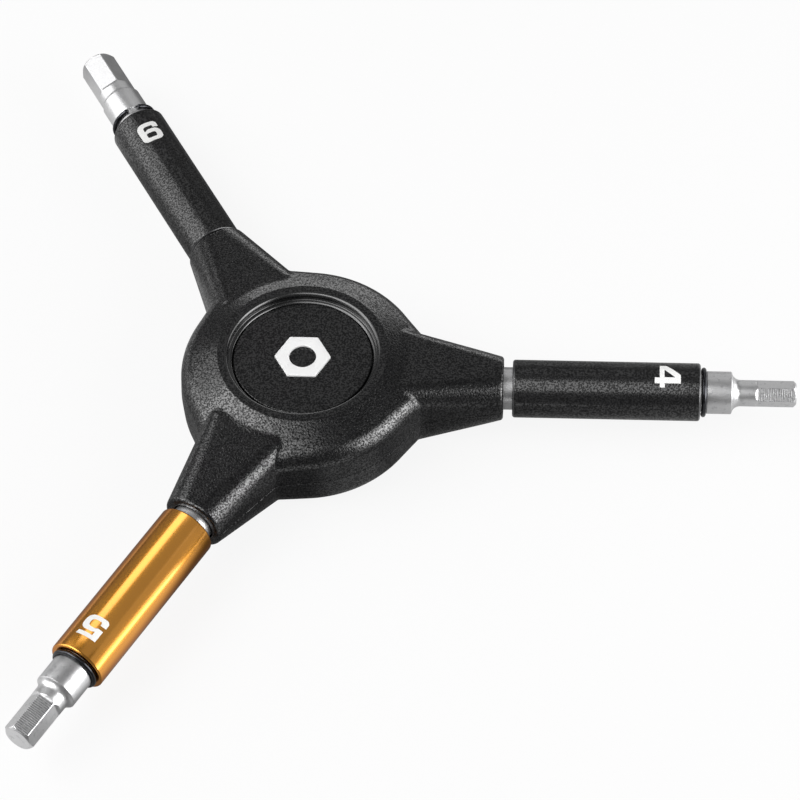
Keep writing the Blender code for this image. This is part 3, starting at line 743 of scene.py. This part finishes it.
def make_shell(name, cupped, node):
    """A closed skin for one shell, which stands for its CAD solid."""

    def field(x, y, z):
        return shell_field(x, y, z, cupped)

    points, quads = skin_of(field, SHELL_RADII, SHELL_TURNS, SHELL_HEIGHTS)
    points = settle(field, points)
    if not cupped:
        points[:, 2] *= -1
    mesh = bpy.data.meshes.new(name)
    mesh.from_pydata((points * MM).tolist(), [], quads.tolist())
    shape = open_shape(mesh)
    loose = [point for point in shape.verts if not point.link_faces]
    bmesh.ops.delete(shape, geom=loose, context="VERTS")
    rims = [edge for edge in shape.edges if edge.is_boundary]
    bmesh.ops.holes_fill(shape, edges=rims, sides=0)
    mesh = close_shape(shape, mesh)
    place = Matrix.Translation((0, 0, MID_PLANE * MM))
    add_piece(name, mesh, black_polymer, "frame", place, node, 40)


make_shell("hub_top", True, "upper_shell")
make_shell("hub_bottom", False, "lower_shell")

# %% [markdown]
# ## The badge
# A thin black disc lies in the recess and hides the screws. It is its own moulding, so a fine
# gap runs round it. On it stands a raised figure, here the plain outline of a hexagon nut. A
# two-dimensional curve with a bevel is a quick way to get a flat figure with rounded edges.

# %% Badge disc
BADGE_RADIUS, BADGE_BOTTOM, BADGE_TOP = 11.95, 6.4, 7.4
BADGE_EDGE = 0.22
NEAR_AXIS = 0.001

disc_outline = rounded(
    [(BADGE_BOTTOM, NEAR_AXIS, 0), (BADGE_BOTTOM, BADGE_RADIUS, 0)]
    + [(BADGE_TOP, BADGE_RADIUS, BADGE_EDGE), (BADGE_TOP, NEAR_AXIS, 0)]
)
add_piece(
    "badge_plate",
    turned("badge_plate", disc_outline, 180, "Z"),
    badge_polymer,
    "frame",
    Matrix.Translation((0, 0, MID_PLANE * MM)),
    "badge_disc",
)

# %% Flat figures from outlines
SAME_CURVE_POINT = 1e-6


def flat_figure(name, outlines, thickness, edge):
    """A flat body from outlines in millimetres: holes are outlines inside others."""
    curve = bpy.data.curves.new(name, "CURVE")
    curve.dimensions = "2D"
    curve.fill_mode = "BOTH"
    curve.extrude = (thickness / 2 - edge) * MM
    curve.bevel_depth = edge * MM
    curve.offset = -edge * MM
    curve.bevel_resolution = 2
    for outline in outlines:
        spline = curve.splines.new("POLY")
        spline.points.add(len(outline) - 1)
        for point, (x, y) in zip(spline.points, outline):
            point.co = (x * MM, y * MM, 0, 1)
        spline.use_cyclic_u = True
    shown = bpy.data.objects.new(name, curve)
    bpy.context.scene.collection.objects.link(shown)
    graph = bpy.context.evaluated_depsgraph_get()
    mesh = bpy.data.meshes.new_from_object(shown.evaluated_get(graph))
    bpy.data.objects.remove(shown)
    shape = open_shape(mesh)
    bmesh.ops.remove_doubles(shape, verts=shape.verts, dist=SAME_CURVE_POINT)
    return close_shape(shape, mesh)


def circle(radius, steps):
    angles = [2 * math.pi * step / steps for step in range(steps)]
    return [(radius * math.cos(angle), radius * math.sin(angle)) for angle in angles]


# %% Nut outline
NUT_FLATS, NUT_HOLE, NUT_THICKNESS, NUT_EDGE = 8.418, 2.315, 0.45, 0.1
NUT_CORNER = 0.35
FACE_GAP = 0.05

nut_corners = [(x, y, NUT_CORNER) for x, y in circle(NUT_FLATS / math.sqrt(3), 6)]
nut_lines = [rounded(nut_corners, 5, closed=True), circle(NUT_HOLE, 72)]
add_piece(
    "badge_nut_outline",
    flat_figure("badge_nut_outline", nut_lines, NUT_THICKNESS, NUT_EDGE),
    white_enamel,
    "frame",
    Matrix.Translation((0, 0, (MID_PLANE + BADGE_TOP + FACE_GAP + NUT_THICKNESS / 2) * MM)),
    "badge_emblem",
)

# %% [markdown]
# ## The keys
# Each key is turned from round bar, and then its end is milled to a hexagon. The same happens
# here in one step: at every place along the key and at every angle, the radius is the smaller
# of the turned profile and the hexagon's flat. That gives the crescents where the flats run
# into the shoulder without any Boolean.

# %% Sizes of the keys
HEX_FLATS = {4: 4.0, 5: 5.0, 6: 6.0}
HEX_LENGTH = {4: 6.52, 5: 7.42, 6: 7.62}
HEX_ROLL = {4: 16, 5: 14, 6: 20}
NECK_LENGTH = {4: 4.74, 5: 3.22, 6: 2.9}
HEX_CORNER_SHARE = 0.985
NECK_FILLET, NECK_STEPS = 1.5, 12
SHOULDER_CORNER = 0.16
TIP_CHAMFER = 0.48
RUN_OUT = 0.55
RING_PLACE = 68.975
GROOVE_HALF, GROOVE_RADIUS = 0.525, 3.35
ANCHOR = {"start": 6.0, "end": 13.0, "groove_end": 15.0, "groove_radius": 2.775, "half": 2.8}


def key_profile(arm):
    """Turned outline (along, radius) of a key, and where its flats begin."""
    neck = HEX_FLATS[arm] / math.sqrt(3) * HEX_CORNER_SHARE
    tip = reach_of(f"hex_key_{arm}", arm)[1]
    flats = tip - HEX_LENGTH[arm]
    shoulder = flats - NECK_LENGTH[arm]
    corner = min(SHOULDER_CORNER, (SHANK_RADIUS - neck) / 2)
    drop = min(SHANK_RADIUS - corner - neck, NECK_FILLET)
    sweep = math.acos(1 - drop / NECK_FILLET)
    run = NECK_FILLET * math.sin(sweep)
    outline = [
        (ANCHOR["start"], NEAR_AXIS, 0),
        (ANCHOR["start"], SHANK_RADIUS, 0.3),
        (ANCHOR["end"], SHANK_RADIUS, 0),
        (ANCHOR["end"], ANCHOR["groove_radius"], 0),
        (ANCHOR["groove_end"], ANCHOR["groove_radius"], 0),
        (ANCHOR["groove_end"], SHANK_RADIUS, 0),
        (RING_PLACE - GROOVE_HALF, SHANK_RADIUS, 0.06),
        (RING_PLACE - GROOVE_HALF, GROOVE_RADIUS, 0),
        (RING_PLACE + GROOVE_HALF, GROOVE_RADIUS, 0),
        (RING_PLACE + GROOVE_HALF, SHANK_RADIUS, 0.06),
        (shoulder, SHANK_RADIUS, 0.05),
        (shoulder + corner, SHANK_RADIUS - corner, 0.05),
    ]
    points = [tuple(point) for point in rounded(outline, 4)]
    for step in range(NECK_STEPS + 1):
        angle = sweep * (1 - step / NECK_STEPS)
        place = shoulder + corner + run - NECK_FILLET * math.sin(angle)
        points.append((place, neck + NECK_FILLET * (1 - math.cos(angle))))
    end = [(points[-1][0], neck, 0), (tip - TIP_CHAMFER, neck, 0.1)]
    end += [(tip, neck - TIP_CHAMFER, 0.1), (tip, NEAR_AXIS, 0)]
    points += [tuple(point) for point in rounded(end, 4)[1:]]
    return points, flats


def even_steps(points, longest):
    """The same outline with more points, none further apart than this."""
    found = [points[0]]
    for start, end in zip(points, points[1:]):
        steps = max(1, math.ceil(math.dist(start, end) / longest))
        for step in range(1, steps + 1):
            share = step / steps
            found.append(tuple(a + (b - a) * share for a, b in zip(start, end)))
    return found


# %% Turn and mill each key
COARSE_STEP, FINE_STEP, FINE_BEFORE_FLATS = 2.0, 0.07, 2.0
FLAT_HALF_ANGLE, FLAT_POINTS = 28.45, 17


def make_key(arm):
    profile, flats = key_profile(arm)
    inside = [point for point in profile if point[0] < flats - FINE_BEFORE_FLATS]
    outside = inside[-1:] + profile[len(inside) :]
    outline = np.array(even_steps(inside, COARSE_STEP) + even_steps(outside, FINE_STEP)[1:])
    sector = np.append(np.linspace(-FLAT_HALF_ANGLE, FLAT_HALF_ANGLE, FLAT_POINTS), 30.0)
    sectors = [sector + HEX_ROLL[arm] + 60 * side for side in range(6)]
    angles = np.radians(np.concatenate(sectors))
    from_flat = np.radians(np.tile(sector, 6))
    along, radius = outline[:, :1], outline[:, 1:]
    flat = HEX_FLATS[arm] / 2 + np.maximum(flats - along, 0) ** 2 / RUN_OUT**2 * RUN_OUT / 2
    milled = np.minimum(radius, flat / np.cos(from_flat))
    squared = np.minimum(milled, ANCHOR["half"] / np.maximum(np.abs(np.cos(angles)), 1e-3))
    shape = np.where(along <= ANCHOR["end"], squared, milled)
    points = np.stack(
        [along + 0 * shape, shape * np.sin(angles), shape * np.cos(angles)], axis=2
    )
    mesh = mesh_of(f"key_{arm}", points.reshape(-1, 3), grid_faces(len(outline), len(angles)))
    steel = make_satin_chrome(arm, flats, HEX_FLATS[arm] / 2)
    add_piece(
        f"key_{arm}", mesh, steel, "frame", arm_frame(arm), f"hex_key_{arm}", 24
    )


for arm in ARM_TURN:
    make_key(arm)

# %% [markdown]
# ## The wire rings
# A small ring of round wire snaps into a groove and keeps the sleeve on. It is open, like a
# letter C, so that it can be sprung over the shank. The opening lies where the photograph
# shows it, or out of sight.

# %% Wire rings
WIRE_RADIUS, WIRE_CIRCLE = 0.425, 3.875
WIRE_SIDES, WIRE_STEPS = 18, 90
WIRE_END = [(0, 0.55), (0.006, 0.85), (0.014, 1.0)]
RING_OPENING = 28
RING_OPENING_TURN = {4: 200, 5: 170, 6: 0}


def make_ring(arm):
    """Circles of wire from end to end; WIRE_END is (share of the way, width) at an end."""
    circles = WIRE_END + [(share, 1.0) for share in np.linspace(0.03, 0.97, WIRE_STEPS)]
    circles += [(1 - share, width) for share, width in reversed(WIRE_END)]
    points = []
    for share, width in circles:
        turn = RING_OPENING / 2 + (360 - RING_OPENING) * share
        spin = Matrix.Rotation(math.radians(-turn - RING_OPENING_TURN[arm]), 3, "X")
        for x, y in circle(WIRE_RADIUS * width, WIRE_SIDES):
            points.append(tuple(spin @ Vector((RING_PLACE + y, 0, WIRE_CIRCLE + x))))
    faces = grid_faces(len(circles), WIRE_SIDES)
    faces += [list(range(WIRE_SIDES)), list(range(len(points) - WIRE_SIDES, len(points)))]
    mesh = mesh_of(f"ring_{arm}", points, faces)
    node = f"retaining_ring_{arm}"
    add_piece(f"ring_{arm}", mesh, black_wire, "frame", arm_frame(arm), node, 50)


for arm in ARM_TURN:
    make_ring(arm)

# %% [markdown]
# ## The sleeves
# A sleeve is a thin tube that spins freely between your fingers while the other hand turns
# the hub. It rides on its own body here, so its paint and grain turn with it. The ends have
# small rounded edges, which draw the thin bright line that tells metal from plastic.

# %% Sleeves
SLEEVE_RADIUS, LAND_RADIUS, RELIEF_RADIUS = 5.0, 3.875, 4.185
SLEEVE_EDGE = {4: 0.5, 5: 0.35, 6: 0.5}
LAND_LENGTH, BORE_CHAMFER, BORE_EDGE = 3.0, 0.2, 0.05
SLEEVE_SIDES, SLEEVE_STEP = 160, 3.0
SLEEVE_SLOT = {4: "black_anodised", 5: "gold_anodised", 6: "black_anodised"}
SLEEVE_FINISH = {"black_anodised": black_anodised, "gold_anodised": gold_anodised}


def make_sleeve(arm):
    """A tube with a wider bore between its two ends, where the bush lies."""
    start, end = reach_of(f"sleeve_{arm}", arm)
    corners = [
        (start, SLEEVE_RADIUS, SLEEVE_EDGE[arm]),
        (end, SLEEVE_RADIUS, SLEEVE_EDGE[arm]),
        (end, LAND_RADIUS + BORE_CHAMFER, BORE_EDGE),
        (end - BORE_CHAMFER, LAND_RADIUS, BORE_EDGE),
        (end - LAND_LENGTH, LAND_RADIUS, 0),
        (end - LAND_LENGTH, RELIEF_RADIUS, 0),
        (start + LAND_LENGTH, RELIEF_RADIUS, 0),
        (start + LAND_LENGTH, LAND_RADIUS, 0),
        (start + BORE_CHAMFER, LAND_RADIUS, BORE_EDGE),
        (start, LAND_RADIUS + BORE_CHAMFER, BORE_EDGE),
    ]
    outline = [tuple(point) for point in rounded(corners, 7, closed=True)]
    mesh = turned(f"grip_{arm}", even_steps(outline, SLEEVE_STEP), SLEEVE_SIDES, closed=True)
    slot, body, node = SLEEVE_SLOT[arm], f"spinner_{arm}", f"sleeve_{arm}"
    add_piece(f"grip_{arm}", mesh, SLEEVE_FINISH[slot], body, arm_frame(arm), node)


for arm in ARM_TURN:
    make_sleeve(arm)

# %% [markdown]
# ## The painted numbers
# Each sleeve carries the size of its hexagon. A painted number follows the tube, so it is
# drawn flat, cut into narrow strips, and then wrapped round the sleeve. The figures are drawn
# here from a few corners and arcs, with strokes a fifth of the height wide.

# %% Outlines of the three figures
FOUR = [
    [(0, 0.86, 0), (0, 1.98, 0), (2.33, 4.45, 0), (3.92, 4.45, 0), (3.92, 1.7, 0)]
    + [(4.67, 1.7, 0), (4.67, 0.88, 0), (3.95, 0.88, 0), (3.95, 0, 0), (2.87, 0, 0)]
    + [(2.87, 0.86, 0)],
    [(1.13, 1.66, 0), (2.8, 1.66, 0), (2.8, 3.5, 0)],
]
FIVE = [
    [(0.12, 4.43, 0), (3.96, 4.43, 0), (3.84, 3.66, 0), (1.2, 3.66, 0), (1.2, 2.88, 0)]
    + [(1.75, 3.13, 0.8), (4.08, 3.13, 1.5), (4.08, 0, 1.45), (0, 0, 1.35), (0, 1.42, 0)]
    + [(1.1, 1.42, 0), (1.12, 0.78, 0.6), (2.96, 0.78, 0.74), (2.96, 2.36, 0.76)]
    + [(1.6, 2.36, 0.5), (1.1, 2.1, 0), (0.1, 2.1, 0)],
]
SIX = [
    [(0, 0, 1.1), (0, 4.46, 1.3), (4.02, 4.46, 1.3), (4.02, 3.1, 0), (2.98, 3.1, 0)]
    + [(2.98, 3.58, 0.35), (1.14, 3.58, 0.5), (1.14, 2.48, 0), (1.8, 2.83, 0.8)]
    + [(4.08, 2.83, 1.35), (4.08, 0, 1.2)],
    [(1.16, 0.83, 0.35), (2.98, 0.83, 0.35), (2.98, 1.97, 0.35), (1.16, 1.97, 0.35)],
]

# %% Wrap a figure round its sleeve
FIGURE_BASE = {4: 60.42, 5: 60.87, 6: 59.17}
FIGURE_LEFT = {4: -2.1, 5: -2.13, 6: -2.05}
INK_THICKNESS, INK_EDGE = 0.024, 0.001
WIDEST_FIGURE, STRIP = 5, 0.2


def make_number(arm, outlines):
    """Thin ink on the sleeve: up the figure is outward, and right is clockwise from above."""
    flat = [[tuple(point) for point in rounded(line, 8, closed=True)] for line in outlines]
    mesh = flat_figure(f"number_{arm}", flat, INK_THICKNESS, INK_EDGE)
    shape = open_shape(mesh)
    for cut in np.arange(STRIP, WIDEST_FIGURE, STRIP):
        plane = {"plane_co": (cut * MM, 0, 0), "plane_no": (1, 0, 0)}
        everything = shape.verts[:] + shape.edges[:] + shape.faces[:]
        bmesh.ops.bisect_plane(shape, geom=everything, dist=SAME_POINT, **plane)
    for point in shape.verts:
        angle = -(point.co.x / MM + FIGURE_LEFT[arm]) / SLEEVE_RADIUS
        radius = (SLEEVE_RADIUS + INK_THICKNESS / 2) * MM + point.co.z
        out = FIGURE_BASE[arm] * MM + point.co.y
        point.co = (out, radius * math.sin(angle), radius * math.cos(angle))
    mesh = close_shape(shape, mesh)
    add_piece(f"number_{arm}", mesh, white_ink, f"spinner_{arm}", arm_frame(arm))


for arm, outlines in ((4, FOUR), (5, FIVE), (6, SIX)):
    make_number(arm, outlines)

# %% [markdown]
# ## Pieces out of sight
# Three split bushes, three screws and a foam pad are hidden inside. The CAD solids are good
# enough for them, so they only get finishes: milky acetal, bright zinc and dark foam. They
# show when somebody takes the model apart.

# %% Finishes for the hidden pieces
acetal = make_paint("white_acetal", (0.70, 0.69, 0.65), (0.80, 0.79, 0.75), 0.4, 0.01)
foam = make_paint("foam_tape", (0.03, 0.03, 0.03), (0.08, 0.08, 0.08), 0.85, 0.06)


def make_zinc():
    finish = Finish("zinc_plate", {"Metallic": 1.0})
    crystals = finish.noise(0.5, detail=3.0)
    finish.feed("Base Color", finish.shade(crystals, (0.50, 0.52, 0.55), (0.70, 0.71, 0.72)))
    finish.feed("Roughness", 0.26 + 0.2 * crystals)
    finish.relief(crystals, 0.006)
    return finish.material


zinc = make_zinc()
hidden = {"badge_pad": (foam, "foam_tape")}
hidden.update({f"sleeve_bush_{arm}": (acetal, "white_acetal") for arm in ARM_TURN})
hidden.update({f"shell_screw_{number}": (zinc, "zinc_plate") for number in (1, 2, 3)})
for name, (finish, slot) in hidden.items():
    nodes[name].data.materials.clear()
    nodes[name].data.materials.append(finish)
print("finished as they are:", sorted(hidden))

# %% [markdown]
# ## Floor, backdrop and light
# The tool lies on a pale table in a white studio. To the camera the table and the air behind
# it are nearly white, while the light that falls on the tool stays soft and even. Light Path
# tells the two apart: it mixes in plain white for rays that come from the camera, and the
# table keeps enough of its own shading to show the tool's shadow.

# %% Floor
FLOOR_SIZE = 3000.0

half = FLOOR_SIZE / 2
floor_corners = [(-half, -half, 0), (half, -half, 0), (half, half, 0), (-half, half, 0)]
floor_mesh = mesh_of("floor", floor_corners, [(0, 1, 2, 3)])
floor = bpy.data.objects.new("floor", floor_mesh)
bpy.context.scene.collection.objects.link(floor)
paper = Finish("floor_paper", {"Roughness": 0.9})
paper.feed("Base Color", paper.shade(paper.noise(40.0), (0.80, 0.80, 0.80), (0.84, 0.84, 0.84)))
floor_mesh.materials.append(paper.material)
print("floor:", FLOOR_SIZE / 1000, "m wide")

# %% [markdown]
# Rays that leave a shiny piece see another table. It is nearly black, because a black tool is
# photographed among black cards, and it has a few brighter ovals where the sleeves, the keys
# and the hub's wall mirror something pale. Each oval is a glow, a middle and a reach along X
# and Y. Mixing a dark and a bright emission by a factor does this without a picture.

# %% What shiny pieces see of the table
WHITE_SHARE = 0.88
BRIGHTEST = 1.5
OVAL_RIM = 0.7, 1.3
MIRRORED_ALL_OVER = 0.08
MIRRORED = {
    "right of the hub": (0.2, (15, -25), (10, 9)),
    "left of arm 6": (0.2, (-27, 23), (12, 10)),
    "right of arm 5": (0.75, (14, -60), (36, 22)),
    "outside tip 5": (0.45, (-48, -80), (16, 14)),
    "left of key 5": (0.30, (-54, -58), (13, 13)),
    "left of key 6": (0.30, (-54, 64), (14, 11)),
    "far right": (0.9, (380, 0), (300, 400)),
    "far left": (1.0, (-380, 0), (300, 400)),
}


def patch(middle, reach):
    """One in the middle of an oval on the table, fading to zero round its rim."""
    moved = paper.vector("SUBTRACT", paper.own_space, Vector((*middle, 0)) * MM)
    scaled = paper.vector("MULTIPLY", moved, Vector((1 / reach[0], 1 / reach[1], 0)) / MM)
    return 1 - paper.between(paper.vector("LENGTH", scaled), *OVAL_RIM)


mirrored = MIRRORED_ALL_OVER
for glow, middle, reach in MIRRORED.values():
    mirrored = mirrored + glow * patch(middle, reach)
glossy = paper.node("ShaderNodeLightPath", outlet="Is Glossy Ray")
seen = paper.node("ShaderNodeLightPath", outlet="Is Camera Ray") * WHITE_SHARE
dark, bright, white = (
    paper.node("ShaderNodeEmission", inputs={"Strength": glow})
    for glow in (0.0, BRIGHTEST, 1.0)
)
plain = Wire(paper, paper.shader.outputs[0])
in_mirror = paper.mix_shaders(mirrored * (1 / BRIGHTEST), dark, bright)
surface = paper.mix_shaders(seen, paper.mix_shaders(glossy, plain, in_mirror), white)
paper.join(surface, paper.tree.nodes["Material Output"].inputs["Surface"])
print("shiny pieces see brighter ovals:", ", ".join(MIRRORED))

# %% [markdown]
# The world is white for the camera. For everything else it is black cloth, with one low and
# narrow band of white paper straight behind the table. Dark cloth is what keeps a black tool
# black.

# %% World
PAPER_GLOW, CLOTH_GLOW = 0.42, 0.14
PAPER_SIDES, PAPER_TOP = (0.9, 0.98), (0.2, 0.5)

world = bpy.data.worlds.new("studio")
bpy.context.scene.world = world
world.use_nodes = True
air = Sheet(world.node_tree)
direction = air.node("ShaderNodeTexCoord", outlet="Generated")
northward = air.node("ShaderNodeSeparateXYZ", inputs={0: direction}, outlet="Y")
height = air.node("ShaderNodeSeparateXYZ", inputs={0: direction}, outlet="Z")
paper_share = air.between(northward, *PAPER_SIDES) * (1 - air.between(height, *PAPER_TOP))
camera_ray = air.node("ShaderNodeLightPath", outlet="Is Camera Ray")
cloth, stand, white = (
    air.node("ShaderNodeBackground", inputs={"Color": (1, 1, 1, 1), "Strength": glow})
    for glow in (CLOTH_GLOW, PAPER_GLOW, 1.0)
)
studio = air.mix_shaders(camera_ray, air.mix_shaders(paper_share, cloth, stand), white)
air.join(studio, air.tree.nodes["World Output"].inputs["Surface"])
print("world:", len(air.tree.nodes), "nodes")

# %% [markdown]
# The lamps are twenty softboxes in three families. Six light nearly everything: the one at
# the left draws the broad highlight on the hub and the far sleeve, and the one low at the
# right models the other side. Seven light only the hub, the keys or the right sleeve. Seven
# more shape the streaks on the gold sleeve. In a studio, black flags keep a lamp off the other
# pieces. Here light linking does that: a lamp gets a collection of what it may light.

# %% Softboxes
HUB_MIDDLE = Vector((0, 0, 12))
NEAR_SLEEVE = Vector((-26, -45, 14))
HUB, KEYS = ("hub", "badge"), ("key", "ring")
GOLD, RIGHT_SLEEVE = ("grip_5", "number_5"), ("grip_4", "number_4")
NOT_GOLD = HUB + KEYS + ("grip_4", "grip_6", "number", "floor")


def softbox(name, direction, distance, size, radiance, on=None, lit=HUB_MIDDLE, roll=0):
    """An area lamp facing a place. Its direction is azimuth, 0 at +X, and elevation.

    It lights the pieces whose names start with one of the words in on, or else everything.
    """
    turn, lift = map(math.radians, direction)
    toward = Vector(
        (math.cos(turn) * math.cos(lift), math.sin(turn) * math.cos(lift), math.sin(lift))
    )
    lamp = bpy.data.lights.new(name, "AREA")
    lamp.shape = "RECTANGLE"
    lamp.size, lamp.size_y = (side * MM for side in size)
    lamp.energy = radiance * math.pi * lamp.size * lamp.size_y
    holder = bpy.data.objects.new(name, lamp)
    facing = toward.to_track_quat("Z", "Y").to_matrix().to_4x4()
    holder.matrix_world = (
        Matrix.Translation((lit + toward * distance) * MM)
        @ facing
        @ Matrix.Rotation(math.radians(roll), 4, "Z")
    )
    holder.visible_camera = False
    bpy.context.scene.collection.objects.link(holder)
    if on:
        screened = bpy.data.collections.new(f"{name}_lights")
        for piece in bpy.data.objects:
            if piece.name.startswith(on):
                screened.objects.link(piece)
        holder.light_linking.receiver_collection = screened
    print(f"{name}: {lamp.energy:.2f} W on {', '.join(on or ('everything',))}")


# %% The three families of lamps
softbox("lamp_left", (196, 50), 700, (640, 460), 3.8)
softbox("lamp_left_low", (174, 15), 700, (480, 330), 1.9)
softbox("lamp_left_back", (149, 38), 700, (310, 400), 1.3)
softbox("lamp_back", (88, 52), 700, (500, 400), 0.2)
softbox("lamp_right", (338, 20), 700, (510, 640), 3.9, NOT_GOLD)
softbox("lamp_right_low", (3, 12), 260, (260, 100), 2.2, NOT_GOLD)
softbox("lamp_left_strip", (195, 21), 700, (620, 90), 5.0, HUB)
softbox("lamp_right_strip", (340, 24), 700, (560, 90), 4.2, HUB)
softbox("lamp_front", (254, 53), 700, (350, 540), 2.3, HUB)
softbox("lamp_behind", (80, 6.8), 200, (250, 70), 1.05, HUB)
softbox("lamp_sleeve_4", (265, 66), 700, (420, 565), 1.7, RIGHT_SLEEVE)
softbox("lamp_keys", (265, 62), 700, (420, 620), 0.45, KEYS)
softbox("lamp_keys_back", (75, 28), 700, (420, 560), 0.3, KEYS)
softbox("lamp_gold_top", (94, 52), 190, (82, 74), 2.0, GOLD, NEAR_SLEEVE, -37)
softbox("lamp_gold_core", (94, 52), 190, (24, 74), 3.0, GOLD, NEAR_SLEEVE, -37)
softbox("lamp_gold_side", (330, -3), 46, (56, 18), 1.5, GOLD, NEAR_SLEEVE)
softbox("lamp_gold_edge", (330, -6), 46, (56, 7), 2.3, GOLD, NEAR_SLEEVE)
softbox("lamp_gold_right", (352, 22), 300, (200, 200), 0.35, GOLD, NEAR_SLEEVE)
softbox("lamp_gold_over", (33, 55), 500, (430, 350), 0.23, GOLD, NEAR_SLEEVE)
softbox("lamp_gold_left", (117, 25), 500, (400, 300), 0.1, GOLD, NEAR_SLEEVE)

# %% [markdown]
# ## Last settings
# The view transform is Standard, so that a colour shows as it was written.

# %% View transform
bpy.context.scene.view_settings.view_transform = "Standard"
